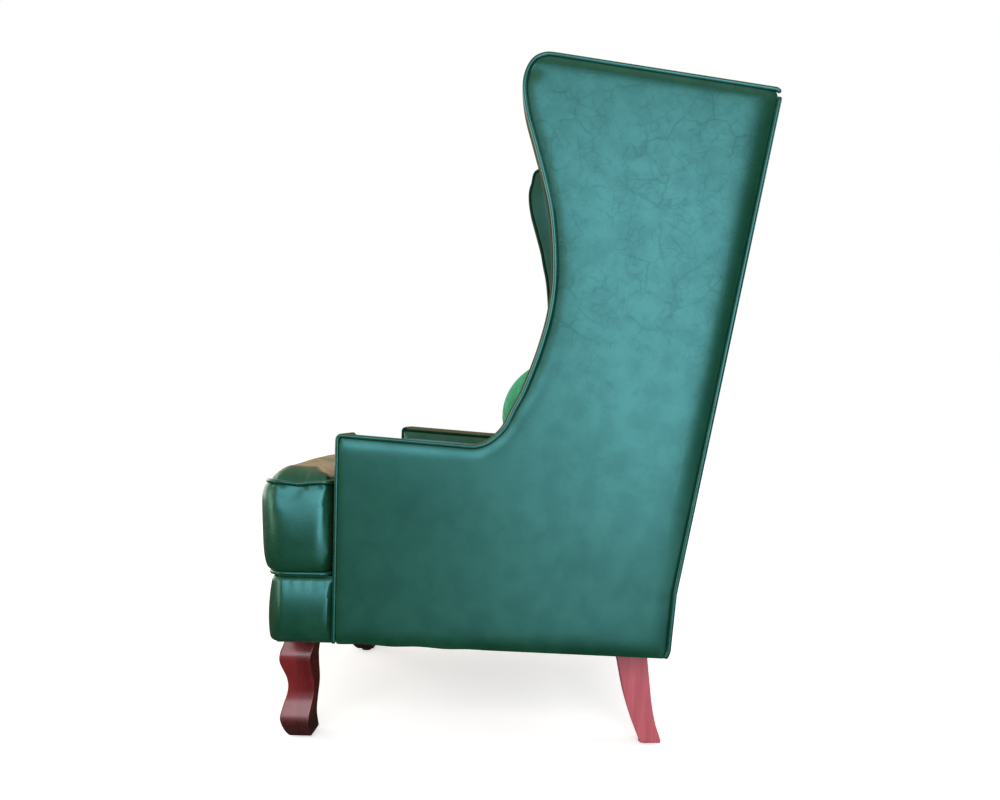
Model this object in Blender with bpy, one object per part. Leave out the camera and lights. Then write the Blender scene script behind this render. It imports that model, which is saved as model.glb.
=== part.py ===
# High-back wing chair with a T-shaped seat cushion, a lumbar pillow, curved front legs and sabre rear legs.
# Metres, +Z up. The front faces -Y and the sitter's left is +X.
# The origin is on the floor, under the middle of the chair.

import math

import bmesh
import bpy
from mathutils import Vector
from mathutils.bvhtree import BVHTree

# Overall sizes
OVERALL_WIDTH = 0.750
OVERALL_DEPTH = 0.836
GAP = 0.0003                   # between two pieces that touch

# Upholstered body, seen from the side
UNDERSIDE_HEIGHT = 0.187       # floor to the underside at the arm's front
UNDERSIDE_DROP = 0.0145        # how much lower the underside is at the rear
EAR_DEPTH = 0.105              # seat that stands forward of the arms
ARM_FRONT_RISE = 0.3447        # underside to the arm's top, at the front
ARM_TOP_DROP = 0.0147          # the arm's top slopes down towards the wing
ARM_RUN = 0.2265               # arm's front to where the wing's edge sweeps up
WING_SWEEP = 0.1245            # that point to the wing's waist, measured backwards
WING_RISE = 0.6445             # arm's top to the wing's top
WING_TOP_DROP = 0.0515         # the wing's top slopes down towards the back
BACK_SHOULDER = 0.0215         # the wing's top to where the rear edge runs straight
BACK_RAKE = 0.1549             # how far the rear edge leans back above its knee
BACK_KNEE_RISE = 0.0917        # underside to the knee of the rear edge
BACK_FOOT_DRAW = 0.0094        # how far the rear edge draws in below the knee
ARM_CORNER_RADIUS = 0.010
REAR_CORNER_RADIUS = 0.018
ARM_THICKNESS = 0.1125
WING_THICKNESS = 0.068

# Leather covers and their padding
WELT_RADIUS = 0.0038
PANEL_PROUD = 0.0015           # the welt stands this far out from the panel beside it
PANEL_EDGE_ROUND = 0.0022
BORDER_THICKNESS = 0.014
BORDER_BULGE = 0.0048
FRONT_BORDER_THICKNESS = 0.014
FRONT_BORDER_ROUND = 0.016
FRONT_BORDER_BULGE = 0.002
FRONT_BORDER_TUCK = 0.007      # how far its top and bottom edges draw back at the front
FRONT_BORDER_SIDE_TUCK = 0.003
SIDE_PAD_THICKNESS = 0.020
WING_PAD_THICKNESS = 0.018
PAD_ROUND = 0.004
DECK_THICKNESS = 0.015
DUST_COVER_THICKNESS = 0.0012
DUST_COVER_MARGIN = 0.012

# Hardwood frame
RAIL_THICKNESS = 0.025
SIDE_RAIL_THICKNESS = 0.030
RAIL_HEIGHT = 0.0920
ARM_POST_THICKNESS = 0.025
ARM_RAIL_HEIGHT = 0.022
BACK_POST_DEPTH = 0.060
WING_RIB_DEPTH = 0.034
WING_RAIL_HEIGHT = 0.030
CREST_RAIL_HEIGHT = 0.070
LOWER_BACK_RAIL_HEIGHT = 0.050
LOWER_BACK_RAIL_RISE = 0.020   # above the deck
BLOCK_LENGTH = 0.085
BLOCK_HEIGHT = 0.045
BLOCK_DEPTH = 0.045

# Webbing
WEB_WIDTH = 0.050
WEB_THICKNESS = 0.002
SEAT_WEB_COUNT = 5
BACK_WEB_COUNT = 4
WEB_MARGIN = 0.030

# Inside back
BACK_THICKNESS = 0.1855        # inside back to rear edge, at the deck
INSIDE_BACK_LEAN = 0.205       # metres back for each metre up
INSIDE_BACK_CROWN = 0.008
INSIDE_BACK_ROUND = 0.030
CREST_DROP = 0.012             # crest below the wings' rear ends

# Seat cushion
CUSHION_THICKNESS = 0.154      # from deck to the corners of the top welt
CUSHION_WELT_RADIUS = 0.0035
CUSHION_CROWN = 0.022
CUSHION_CROWN_RUN = 0.150      # from the welt to where the crown is full
CUSHION_SEAM_DIP = 0.007       # how far a seam sags between two corners
CUSHION_FRONT_BULGE = 0.0198   # from the seam
CUSHION_SIDE_BULGE = 0.0052
CUSHION_CORNER_RADIUS = 0.020
CUSHION_NOTCH_RADIUS = 0.006   # where it bends round the arm
CUSHION_CORNER_REACH = 0.060   # the bulge grows over this length from a corner
CUSHION_SPACING = 0.062        # between two points of its outline
CUSHION_SAG_FADE = 4           # power by which a seam's sag fades towards the middle
CUSHION_SIDE_CLEARANCE = 0.0010
CUSHION_EAR_CLEARANCE = 0.0052

# Lumbar pillow
PILLOW_SIDE_ROOM = 0.0425      # between its side and the arm
PILLOW_HEIGHT = 0.226
PILLOW_THICKNESS = 0.164
PILLOW_TILT = math.radians(15)
PILLOW_LEAN_GAP = 0.002
PILLOW_DRAW_IN = 0.010         # how far an edge pulls in between two corners
PILLOW_SIDE_FULLNESS = 0.5     # powers of its swelling: the lower, the blunter the edge
PILLOW_TOP_FULLNESS = 0.75
PILLOW_COLUMNS = 16
PILLOW_ROWS = 10

# Legs
LEG_INSET = 0.080              # chair's side to the leg's outer face
FRONT_LEG_DEPTH = 0.0605
FRONT_LEG_SECTIONS = 24
FRONT_LEG_SETBACK = 0.0033     # front of the base to the foremost point of the knee
REAR_LEG_WIDTH = 0.045
REAR_LEG_DEPTH = 0.0800
REAR_LEG_FORWARD = 0.0815      # foot of the rear edge to the front of the leg's top
LEG_ROUND = 0.0035
GLIDE_RADIUS = 0.0110
GLIDE_HEIGHT = 0.0045
GLIDE_ROUND = 0.0010
BOLT_RADIUS = 0.0040
BOLT_LENGTH = 0.070
BOLT_IN_LEG = 0.038

# Curve finish
CURVE_STEPS = 2
ARC_STEPS = 3
BEVEL_SEGMENTS = 2
SHARP_ANGLE = math.radians(40)
MITRE_LIMIT = 0.5              # least cosine that an offset corner is stretched by
BOLT_SIDES = 8
GLIDE_SIDES = 16

# The wing's front edge from the sweep up to the top:
# shares of the wing's sweep (backwards), then of its rise (upwards)
wing_edge_shares = (
    (0.000, 0.000),
    (0.175, 0.011),
    (0.370, 0.045),
    (0.510, 0.098),
    (0.640, 0.148),
    (0.830, 0.249),
    (0.960, 0.350),
    (1.000, 0.450),
    (0.955, 0.575),
    (0.850, 0.672),
    (0.700, 0.775),
    (0.590, 0.850),
    (0.545, 0.912),
    (0.585, 0.958),
    (0.700, 0.986),
    (0.860, 1.000),
)

# The front leg's profile, cut into it from the front and from the side alike:
# shares of its depth (backwards), then of its height (upwards)
front_leg_face_shares = (
    (0.340, 0.000),
    (0.140, 0.070),
    (0.060, 0.155),
    (0.110, 0.270),
    (0.190, 0.375),
    (0.228, 0.460),
    (0.195, 0.545),
    (0.085, 0.645),
    (0.000, 0.740),
    (0.100, 0.880),
    (0.170, 1.000),
)
front_leg_back_shares = (
    (0.990, 1.000),
    (1.000, 0.880),
    (0.915, 0.755),
    (0.950, 0.640),
    (0.997, 0.530),
    (0.990, 0.420),
    (0.955, 0.300),
    (0.915, 0.190),
    (1.050, 0.100),
    (0.985, 0.000),
)

# The rear leg's outline, written in the same way; its sole lifts a little at the back
rear_leg_face_shares = (
    (0.562, 0.000),
    (0.443, 0.140),
    (0.311, 0.300),
    (0.200, 0.475),
    (0.100, 0.700),
    (0.034, 0.860),
    (0.000, 1.000),
)
rear_leg_back_shares = (
    (0.665, 1.000),
    (0.690, 0.850),
    (0.740, 0.640),
    (0.800, 0.400),
    (0.885, 0.200),
    (1.000, 0.035),
)
REAR_SOLE_SHARE = 0.820        # the sole is flat from its front to here

# How the pad's surface swells between its edges: shares of the padding's width, then of its bulge
border_section_shares = (
    (0.000, 0.00),
    (0.060, 0.35),
    (0.350, 0.80),
    (0.700, 1.00),
    (0.900, 0.75),
    (1.000, -0.60),
)

# Rings of the cushion: shares of the outline, from the seam towards the middle
cushion_top_shares = (0.975, 0.930, 0.860, 0.740, 0.540, 0.260)
cushion_underside_shares = (0.960, 0.860)

# Rings of its side: shares of its height, then of its bulge
cushion_side_shares = (
    (0.050, 0.12),
    (0.140, 0.48),
    (0.400, 0.84),
    (0.680, 1.00),
    (0.860, 0.62),
    (0.950, 0.12),
)

# Rings of the front border: shares of its height, then how far each stands out, from tucked in to bulged
front_border_shares = (
    (0.000, -1.00),
    (0.035, -0.45),
    (0.100, 0.00),
    (0.500, 1.00),
    (0.900, 0.00),
    (0.965, -0.45),
    (1.000, -1.00),
)

FINISHES = {
    "leather": ((0.026, 0.140, 0.112, 1.0), 0.42, 0.0),
    "velvet": ((0.050, 0.330, 0.150, 1.0), 0.85, 0.0),
    "cherry": ((0.150, 0.015, 0.016, 1.0), 0.32, 0.0),
    "rosewood": ((0.420, 0.090, 0.110, 1.0), 0.38, 0.0),
    "beech": ((0.560, 0.390, 0.230, 1.0), 0.65, 0.0),
    "jute": ((0.420, 0.320, 0.190, 1.0), 0.90, 0.0),
    "cambric": ((0.020, 0.020, 0.022, 1.0), 0.90, 0.0),
    "nylon": ((0.015, 0.015, 0.016, 1.0), 0.50, 0.0),
    "steel": ((0.600, 0.600, 0.620, 1.0), 0.35, 1.0),
}

# Places that follow from the sizes
half_width = OVERALL_WIDTH / 2
front_y = -OVERALL_DEPTH / 2
cushion_seam_inset = 2 * CUSHION_WELT_RADIUS + GAP
cushion_front_y = front_y + CUSHION_FRONT_BULGE - cushion_seam_inset
base_front_y = cushion_front_y + WELT_RADIUS
arm_front_y = cushion_front_y + EAR_DEPTH
sweep_y = arm_front_y + ARM_RUN
rear_top_y = OVERALL_DEPTH / 2
knee_y = rear_top_y - BACK_RAKE
rear_foot_y = knee_y - BACK_FOOT_DRAW
arm_front_z = UNDERSIDE_HEIGHT + ARM_FRONT_RISE
arm_rear_z = arm_front_z - ARM_TOP_DROP
wing_top_z = arm_rear_z + WING_RISE
rear_top_z = wing_top_z - WING_TOP_DROP
shoulder_z = rear_top_z - BACK_SHOULDER
knee_z = UNDERSIDE_HEIGHT + BACK_KNEE_RISE
rear_foot_z = UNDERSIDE_HEIGHT - UNDERSIDE_DROP

welt_depth = 2 * WELT_RADIUS
panel_outer_x = half_width - PANEL_PROUD
panel_inner_x = half_width - welt_depth - GAP
frame_x = panel_inner_x - GAP                      # outer face of all that the panel covers
arm_inner_x = half_width - ARM_THICKNESS
wing_inner_x = half_width - WING_THICKNESS
arm_frame_x = arm_inner_x + SIDE_PAD_THICKNESS + GAP
wing_frame_x = wing_inner_x + WING_PAD_THICKNESS + GAP
side_rail_x = frame_x - SIDE_RAIL_THICKNESS

rail_top_z = UNDERSIDE_HEIGHT + RAIL_HEIGHT
web_z = rail_top_z + GAP
deck_z = web_z + WEB_THICKNESS + GAP
deck_top_z = deck_z + DECK_THICKNESS
cushion_z = deck_top_z + GAP
border_depth = BORDER_THICKNESS + GAP
back_cover_depth = welt_depth + GAP
back_frame_depth = back_cover_depth + GAP
arm_rail_depth = border_depth + ARM_RAIL_HEIGHT + GAP
crest_z = rear_top_z - CREST_DROP
crest_rail_z = crest_z - BORDER_THICKNESS
SIDES = (("left", 1), ("right", -1))


def underside(y):
    """Height of the underside at depth y: level in front of the arms, then sloping down to the rear."""
    share = max(0, (y - arm_front_y) / (rear_foot_y - arm_front_y))
    return UNDERSIDE_HEIGHT - UNDERSIDE_DROP * share


def frame_foot(y):
    """Height of the frame's lower face, above the dust cover."""
    return underside(y) + DUST_COVER_THICKNESS + GAP


def arm_top(y):
    """Height of the arm's top at depth y."""
    return arm_front_z - ARM_TOP_DROP * (y - arm_front_y) / ARM_RUN


def rear_edge(z):
    """Depth of the rear edge at height z: a straight lean above the knee, drawn in below it."""
    if z > knee_z:
        return knee_y + BACK_RAKE * (z - knee_z) / (shoulder_z - knee_z)
    share = (knee_z - z) / (knee_z - rear_foot_z)
    return knee_y - BACK_FOOT_DRAW * share


def inside_back(z):
    """Depth of the inside back's face at height z."""
    return rear_edge(deck_top_z) - BACK_THICKNESS + INSIDE_BACK_LEAN * (z - deck_top_z)


def back_post_face(z):
    """Depth of the front face of the back posts."""
    return rear_edge(z) - back_frame_depth - BACK_POST_DEPTH


def smooth_curve(points, steps):
    """A smooth curve through the points, with this many spans between two of them."""
    curve = []
    last = len(points) - 1
    for index in range(last):
        before = points[max(index - 1, 0)]
        start = points[index]
        end = points[index + 1]
        after = points[min(index + 2, last)]
        for step in range(steps):
            t = step / steps
            curve.append(tuple(
                0.5 * (2 * b + (c - a) * t + (2 * a - 5 * b + 4 * c - d) * t * t
                       + (3 * b - a - 3 * c + d) * t ** 3)
                for a, b, c, d in zip(before, start, end, after)
            ))
    curve.append(tuple(points[last]))
    return curve


def rounded_corner(before, corner, after, radius, steps):
    """Points of an arc that rounds the corner between two straight runs."""
    corner, before, after = Vector(corner), Vector(before), Vector(after)
    first = (before - corner).normalized()
    second = (after - corner).normalized()
    half = first.angle(second) / 2
    centre = corner + (first + second).normalized() * (radius / math.sin(half))
    start = corner + first * (radius / math.tan(half)) - centre
    end = corner + second * (radius / math.tan(half)) - centre
    sweep = math.atan2(start.x * end.y - start.y * end.x, start.dot(end))
    points = []
    for step in range(steps + 1):
        angle = sweep * step / steps
        turned = (start.x * math.cos(angle) - start.y * math.sin(angle),
                  start.x * math.sin(angle) + start.y * math.cos(angle))
        points.append((centre.x + turned[0], centre.y + turned[1]))
    return points


def offset_path(path, distance):
    """The path moved sideways, to the right of its direction."""
    moved = []
    for index, point in enumerate(path):
        before = Vector(path[max(index - 1, 0)])
        after = Vector(path[min(index + 1, len(path) - 1)])
        here = Vector(point)
        into = (here - before).normalized() if index else (after - here).normalized()
        out = (after - here).normalized() if index < len(path) - 1 else into
        along = (into + out).normalized()
        stretch = distance / max(along.dot(out), MITRE_LIMIT)
        moved.append((here.x + along.y * stretch, here.y - along.x * stretch))
    return moved


def finish_of(obj, finish):
    colour, roughness, metallic = FINISHES[finish]
    material = bpy.data.materials.new(obj.name)
    material.use_nodes = True
    shader = material.node_tree.nodes["Principled BSDF"]
    shader.inputs["Base Color"].default_value = colour
    shader.inputs["Roughness"].default_value = roughness
    shader.inputs["Metallic"].default_value = metallic
    material.diffuse_color = colour
    obj.data.materials.append(material)


def mesh_object(name, bm, finish):
    """Makes an object of the mesh, with its faces turned outwards and its round parts smooth."""
    bmesh.ops.recalc_face_normals(bm, faces=bm.faces)
    if bm.calc_volume(signed=True) < 0:
        bmesh.ops.reverse_faces(bm, faces=bm.faces)
    mesh = bpy.data.meshes.new(name)
    bm.to_mesh(mesh)
    bm.free()
    mesh.shade_smooth()
    mesh.set_sharp_from_angle(angle=SHARP_ANGLE)
    obj = bpy.data.objects.new(name, mesh)
    bpy.context.scene.collection.objects.link(obj)
    if finish:
        finish_of(obj, finish)
    return obj


def rounded_edges(obj, width):
    bevel = obj.modifiers.new("round", "BEVEL")
    bevel.width = width
    bevel.segments = BEVEL_SEGMENTS
    bevel.limit_method = "ANGLE"
    bevel.angle_limit = SHARP_ANGLE
    return obj


def prism(name, outline, axis, low, high, finish, edge=0.0):
    """An outline drawn across one axis and carried along it from low to high."""
    place = {
        "X": lambda level, a, b: (level, a, b),
        "Y": lambda level, a, b: (a, level, b),
        "Z": lambda level, a, b: (a, b, level),
    }[axis]
    bm = bmesh.new()
    rings = [[bm.verts.new(place(level, a, b)) for a, b in outline] for level in (low, high)]
    bm.faces.new(rings[0])
    bm.faces.new(rings[1])
    count = len(outline)
    for index in range(count):
        following = (index + 1) % count
        bm.faces.new((rings[0][index], rings[0][following], rings[1][following], rings[1][index]))
    obj = mesh_object(name, bm, finish)
    if edge:
        rounded_edges(obj, edge)
    return obj


def box(name, low, high, finish, edge=0.0):
    outline = ((low[0], low[1]), (high[0], low[1]), (high[0], high[1]), (low[0], high[1]))
    return prism(name, outline, "Z", low[2], high[2], finish, edge)


def loft(name, rings, finish, poles=(None, None)):
    """Closed rings joined in order; each end is a flat face, or a fan to its pole."""
    bm = bmesh.new()
    verts = [[bm.verts.new(point) for point in ring] for ring in rings]
    count = len(rings[0])
    for lower, upper in zip(verts, verts[1:]):
        for index in range(count):
            following = (index + 1) % count
            bm.faces.new((lower[index], lower[following], upper[following], upper[index]))
    for ring, pole in ((verts[0], poles[0]), (verts[-1], poles[1])):
        if pole is None:
            bm.faces.new(ring)
            continue
        centre = bm.verts.new(pole)
        for index in range(count):
            bm.faces.new((ring[index], ring[(index + 1) % count], centre))
    return mesh_object(name, bm, finish)


def tube(name, path, radius, resolution, finish, closed=False):
    """A round cord along the path's points."""
    curve = bpy.data.curves.new(name, "CURVE")
    curve.dimensions = "3D"
    curve.bevel_depth = radius
    curve.bevel_resolution = resolution
    curve.use_fill_caps = not closed
    spline = curve.splines.new("POLY")
    spline.points.add(len(path) - 1)
    for point, place in zip(spline.points, path):
        point.co = (*place, 1)
    spline.use_cyclic_u = closed
    obj = bpy.data.objects.new(name, curve)
    bpy.context.scene.collection.objects.link(obj)
    finish_of(obj, finish)
    return obj


def between(side, inner, outer):
    """The low and high X of a piece on one side of the chair."""
    return sorted((side * inner, side * outer))


def side_edge():
    """The outer edge in three runs: the arm from its foot, then the wing, then the rear shoulder."""
    front_foot = (arm_front_y, UNDERSIDE_HEIGHT)
    arm_corner = (arm_front_y, arm_front_z)
    sweep = (sweep_y, arm_rear_z)
    arm = [front_foot, (arm_front_y, deck_top_z)]
    arm += rounded_corner(front_foot, arm_corner, sweep, ARM_CORNER_RADIUS, ARC_STEPS)
    nodes = [(sweep_y + WING_SWEEP * along, arm_rear_z + WING_RISE * up)
             for along, up in wing_edge_shares]
    wing = smooth_curve(nodes, CURVE_STEPS)
    shoulder = rounded_corner(wing[-1], (rear_edge(rear_top_z), rear_top_z), (knee_y, knee_z),
                              REAR_CORNER_RADIUS, ARC_STEPS)
    return arm, wing, shoulder


def rear_line():
    """The rear edge from the shoulder down to the foot."""
    heights = (shoulder_z, (shoulder_z + knee_z) / 2, knee_z, (knee_z + rear_foot_z) / 2, rear_foot_z)
    return [(rear_edge(z), z) for z in heights]


arm_edge, wing_edge, shoulder_edge = side_edge()
welted_edge = arm_edge + wing_edge + shoulder_edge


def top_line(depth):
    """The line of the wing's top edge, this deep under its cover."""
    start, end = Vector(wing_edge[-1]), Vector(shoulder_edge[0])
    slope = (end.y - start.y) / (end.x - start.x)
    return lambda y: start.y + slope * (y - start.x) - depth


border_end_y = rear_edge(crest_z) - back_cover_depth
border_edge = arm_edge[1:] + wing_edge + [(border_end_y, top_line(0)(border_end_y))]
sweep_index = len(arm_edge) - 1


def outside_panel(side_name, side):
    inset = offset_path(welted_edge + rear_line(), welt_depth + GAP)
    outline = inset[:-1]
    foot_y = rear_foot_y - welt_depth - GAP
    outline += [(foot_y, underside(foot_y))]
    outline[0] = (arm_front_y + welt_depth + GAP, UNDERSIDE_HEIGHT)
    low, high = between(side, panel_inner_x, panel_outer_x)
    prism(f"outside_panel_{side_name}", outline, "X", low, high, "leather", PANEL_EDGE_ROUND)


def side_welt(side_name, side):
    path = [(side * (half_width - WELT_RADIUS), y, z) for y, z in offset_path(welted_edge, WELT_RADIUS)]
    tube(f"side_welt_{side_name}", path, WELT_RADIUS, 1, "leather")


def back_welt(side_name, side):
    line = rear_line()
    start_z = shoulder_z - welt_depth
    line[0] = (rear_edge(start_z), start_z)
    path = [(side * (half_width - WELT_RADIUS), y - WELT_RADIUS, z) for y, z in line]
    tube(f"back_welt_{side_name}", path, WELT_RADIUS, 1, "leather")


def border_sections(side, inner_x):
    """Sections of a padded strip along the arm's and the wing's edge, which swells between its sides."""
    width = frame_x - inner_x
    lines = []
    for across, bulge in border_section_shares:
        x = side * (frame_x - width * across)
        lines.append([(x, y, z) for y, z in offset_path(border_edge, -BORDER_BULGE * bulge)])
    for x in (inner_x, frame_x):
        lines.append([(side * x, y, z) for y, z in offset_path(border_edge, BORDER_THICKNESS)])
    return [list(section) for section in zip(*lines)]


def arm_border(side_name, side):
    sections = border_sections(side, arm_inner_x)[:sweep_index + 1]
    sections[-1] = [(x, y - GAP, z) for x, y, z in sections[-1]]
    loft(f"arm_border_{side_name}", sections, "leather")


def wing_border(side_name, side):
    loft(f"wing_border_{side_name}", border_sections(side, wing_inner_x)[sweep_index:], "leather")


def inside_arm_pad(side_name, side):
    low, high = between(side, arm_inner_x, arm_frame_x - GAP)
    start = arm_front_y + border_depth
    end = inside_back(deck_top_z) + BACK_POST_DEPTH
    outline = (
        (start, deck_top_z + GAP),
        (end, deck_top_z + GAP),
        (end, arm_top(end) - border_depth),
        (start, arm_top(start) - border_depth),
    )
    prism(f"inside_arm_pad_{side_name}", outline, "X", low, high, "leather", PAD_ROUND)


def arm_ledge_pad(side_name, side):
    """The arm's top beside the foot of the wing."""
    low, high = between(side, arm_inner_x, wing_inner_x - GAP)
    end = inside_back(deck_top_z) + BACK_POST_DEPTH
    outline = (
        offset_path(border_edge, BORDER_THICKNESS)[sweep_index],
        (end, arm_top(end) - BORDER_THICKNESS),
        (end, arm_top(end)),
        border_edge[sweep_index],
    )
    prism(f"arm_ledge_pad_{side_name}", outline, "X", low, high, "leather", PAD_ROUND)


def wing_front(depth):
    """The wing's front edge and top at this depth under its cover, from the arm's rail to the rear."""
    edge = offset_path(border_edge, depth)[sweep_index:-1]
    return [point for point in edge if point[1] > arm_rear_z + GAP]


def inside_wing_pad(side_name, side):
    low, high = between(side, wing_inner_x, wing_frame_x - GAP)
    outline = wing_front(border_depth)
    top = top_line(border_depth + GAP)
    foot_z = arm_rear_z + GAP
    setback = WEB_THICKNESS + 2 * GAP
    rear_y = back_post_face(shoulder_z) - setback
    outline.append((rear_y, top(rear_y)))
    outline.append((back_post_face(foot_z) - setback, foot_z))
    outline.append((outline[0][0], foot_z))
    prism(f"inside_wing_pad_{side_name}", outline, "X", low, high, "leather", PAD_ROUND)


def front_border():
    """The upholstered front of the seat base, which returns along both sides to the arms."""
    outer = half_width - PANEL_PROUD - FRONT_BORDER_BULGE
    front = base_front_y + FRONT_BORDER_BULGE
    rear = arm_front_y - GAP
    inner_x = frame_x + GAP
    inner_y = base_front_y + FRONT_BORDER_THICKNESS
    right = rounded_corner((outer, rear), (outer, front), (0, front), FRONT_BORDER_ROUND, ARC_STEPS)
    face = [(outer, rear)] + right + [(-x, y) for x, y in reversed(right)] + [(-outer, rear)]
    inner = [(-inner_x, rear), (-inner_x, inner_y), (inner_x, inner_y), (inner_x, rear)]
    rings = []
    for rise, out in front_border_shares:
        z = UNDERSIDE_HEIGHT + (deck_top_z - UNDERSIDE_HEIGHT) * rise
        front_stand = (FRONT_BORDER_BULGE if out > 0 else FRONT_BORDER_TUCK) * out
        side_stand = (FRONT_BORDER_BULGE if out > 0 else FRONT_BORDER_SIDE_TUCK) * out
        ring = []
        for x, y in face:
            sideways = side_stand if x > 0 else -side_stand
            ring.append((x + sideways, y - front_stand if y < rear else y, z))
        rings.append(ring + [(x, y, z) for x, y in inner])
    loft("front_border", rings, "leather")


def seat_deck():
    ear_y = arm_front_y - GAP
    front = base_front_y + FRONT_BORDER_THICKNESS + GAP
    rear = inside_back(deck_top_z) + BACK_POST_DEPTH
    body_x = arm_inner_x - GAP
    ear_x = frame_x - GAP
    outline = ((-ear_x, front), (ear_x, front), (ear_x, ear_y), (body_x, ear_y), (body_x, rear),
               (-body_x, rear), (-body_x, ear_y), (-ear_x, ear_y))
    prism("seat_deck", outline, "Z", deck_z, deck_top_z, "cambric")


def cushion_outline():
    """The seam of the T-shaped cushion, anticlockwise from the front, with points along straight runs."""
    seam = cushion_seam_inset
    ear_x = half_width - seam
    body_x = arm_inner_x - CUSHION_SIDE_CLEARANCE - seam
    front = cushion_front_y + seam
    ear = arm_front_y - CUSHION_EAR_CLEARANCE - seam
    rear = inside_back(deck_top_z) - INSIDE_BACK_CROWN - seam
    corners = ((-ear_x, front), (ear_x, front), (ear_x, ear), (body_x, ear), (body_x, rear),
               (-body_x, rear), (-body_x, ear), (-ear_x, ear))
    count = len(corners)
    arcs = []
    for index, corner in enumerate(corners):
        notch = abs(corner[0]) == body_x and corner[1] == ear
        radius = CUSHION_NOTCH_RADIUS if notch else CUSHION_CORNER_RADIUS
        following = corners[(index + 1) % count]
        arcs.append(rounded_corner(corners[index - 1], corner, following, radius, ARC_STEPS))
    outline = []
    for index, arc in enumerate(arcs):
        outline += arc
        start, end = Vector(arc[-1]), Vector(arcs[(index + 1) % count][0])
        spans = max(1, round((end - start).length / CUSHION_SPACING))
        outline += [tuple(start.lerp(end, step / spans)) for step in range(1, spans)]
    outer = [corner for corner in corners if abs(corner[0]) != body_x or corner[1] == rear]
    fullness = []
    for point in outline:
        nearest = min((Vector(point) - Vector(corner)).length for corner in outer)
        fullness.append(min(1, nearest / CUSHION_CORNER_REACH) ** 2)
    return outline, fullness


def outward(outline, index):
    before = Vector(outline[index - 1])
    after = Vector(outline[(index + 1) % len(outline)])
    along = (after - before).normalized()
    return Vector((along.y, -along.x))


def distance_in(outline, point):
    """Distance from a point inside the outline to its nearest run."""
    here = Vector(point)
    nearest = OVERALL_WIDTH
    for index, end in enumerate(outline):
        start, end = Vector(outline[index - 1]), Vector(end)
        run = end - start
        share = max(0, min(1, (here - start).dot(run) / run.length_squared))
        nearest = min(nearest, (here - start - run * share).length)
    return nearest


def crown_rise(outline, point):
    """Height of the cushion's top above its corners: it swells with the distance from the seam."""
    share = min(1, distance_in(outline, point) / CUSHION_CROWN_RUN)
    return CUSHION_CROWN * (1 - (1 - share) ** 2)


def cushion_seams(fullness):
    """Heights of the top and bottom seams around the outline: each sags between the corners."""
    corner_z = cushion_z + CUSHION_THICKNESS
    top = [corner_z - CUSHION_SEAM_DIP * full for full in fullness]
    bottom = [cushion_z + CUSHION_WELT_RADIUS for _ in fullness]
    return top, bottom


def seat_cushion():
    outline, fullness = cushion_outline()
    top, bottom = cushion_seams(fullness)
    corner_z = cushion_z + CUSHION_THICKNESS
    middle = Vector((0, (cushion_front_y + arm_front_y) / 2 + CUSHION_WELT_RADIUS))
    bulges = []
    for index, full in enumerate(fullness):
        facing = max(0, -outward(outline, index).y) ** 2
        size = CUSHION_SIDE_BULGE + (CUSHION_FRONT_BULGE - CUSHION_SIDE_BULGE) * facing
        bulges.append(size * (1 + full) / 2)

    rings = []
    for share in reversed(cushion_underside_shares):
        rings.append([(*middle.lerp(Vector(point), share), cushion_z) for point in outline])
    rings.append([(*point, z) for point, z in zip(outline, bottom)])
    for rise, swollen in cushion_side_shares:
        ring = []
        for index, point in enumerate(outline):
            swell = outward(outline, index) * bulges[index] * swollen
            z = bottom[index] + (top[index] - bottom[index]) * rise
            ring.append((point[0] + swell.x, point[1] + swell.y, z))
        rings.append(ring)
    rings.append([(*point, z) for point, z in zip(outline, top)])
    for share in cushion_top_shares:
        ring = []
        for point, z in zip(outline, top):
            place = middle.lerp(Vector(point), share)
            settled = corner_z + (z - corner_z) * share ** CUSHION_SAG_FADE
            ring.append((*place, settled + crown_rise(outline, place)))
        rings.append(ring)
    summit = (*middle, corner_z + crown_rise(outline, middle))
    return loft("seat_cushion", rings, "leather", poles=(None, summit))


def cushion_welt(name, heights):
    outline, _ = cushion_outline()
    stand_off = CUSHION_WELT_RADIUS + GAP
    path = []
    for index, (point, z) in enumerate(zip(outline, heights)):
        out = outward(outline, index) * stand_off
        path.append((point[0] + out.x, point[1] + out.y, z))
    tube(name, path, CUSHION_WELT_RADIUS, 1, "leather", closed=True)


def cushion_welts():
    _, fullness = cushion_outline()
    top, bottom = cushion_seams(fullness)
    cushion_welt("cushion_top_welt", top)
    cushion_welt("cushion_bottom_welt", bottom)


def room_below(upper, lower):
    """How far the upper mesh can come down before it meets the lower one."""
    above, below = BVHTree.FromBMesh(upper), BVHTree.FromBMesh(lower)
    down, up = Vector((0, 0, -1)), Vector((0, 0, 1))
    drops = [below.ray_cast(vert.co, down)[3] for vert in upper.verts]
    drops += [above.ray_cast(vert.co, up)[3] for vert in lower.verts]
    return min(drop for drop in drops if drop is not None)


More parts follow.
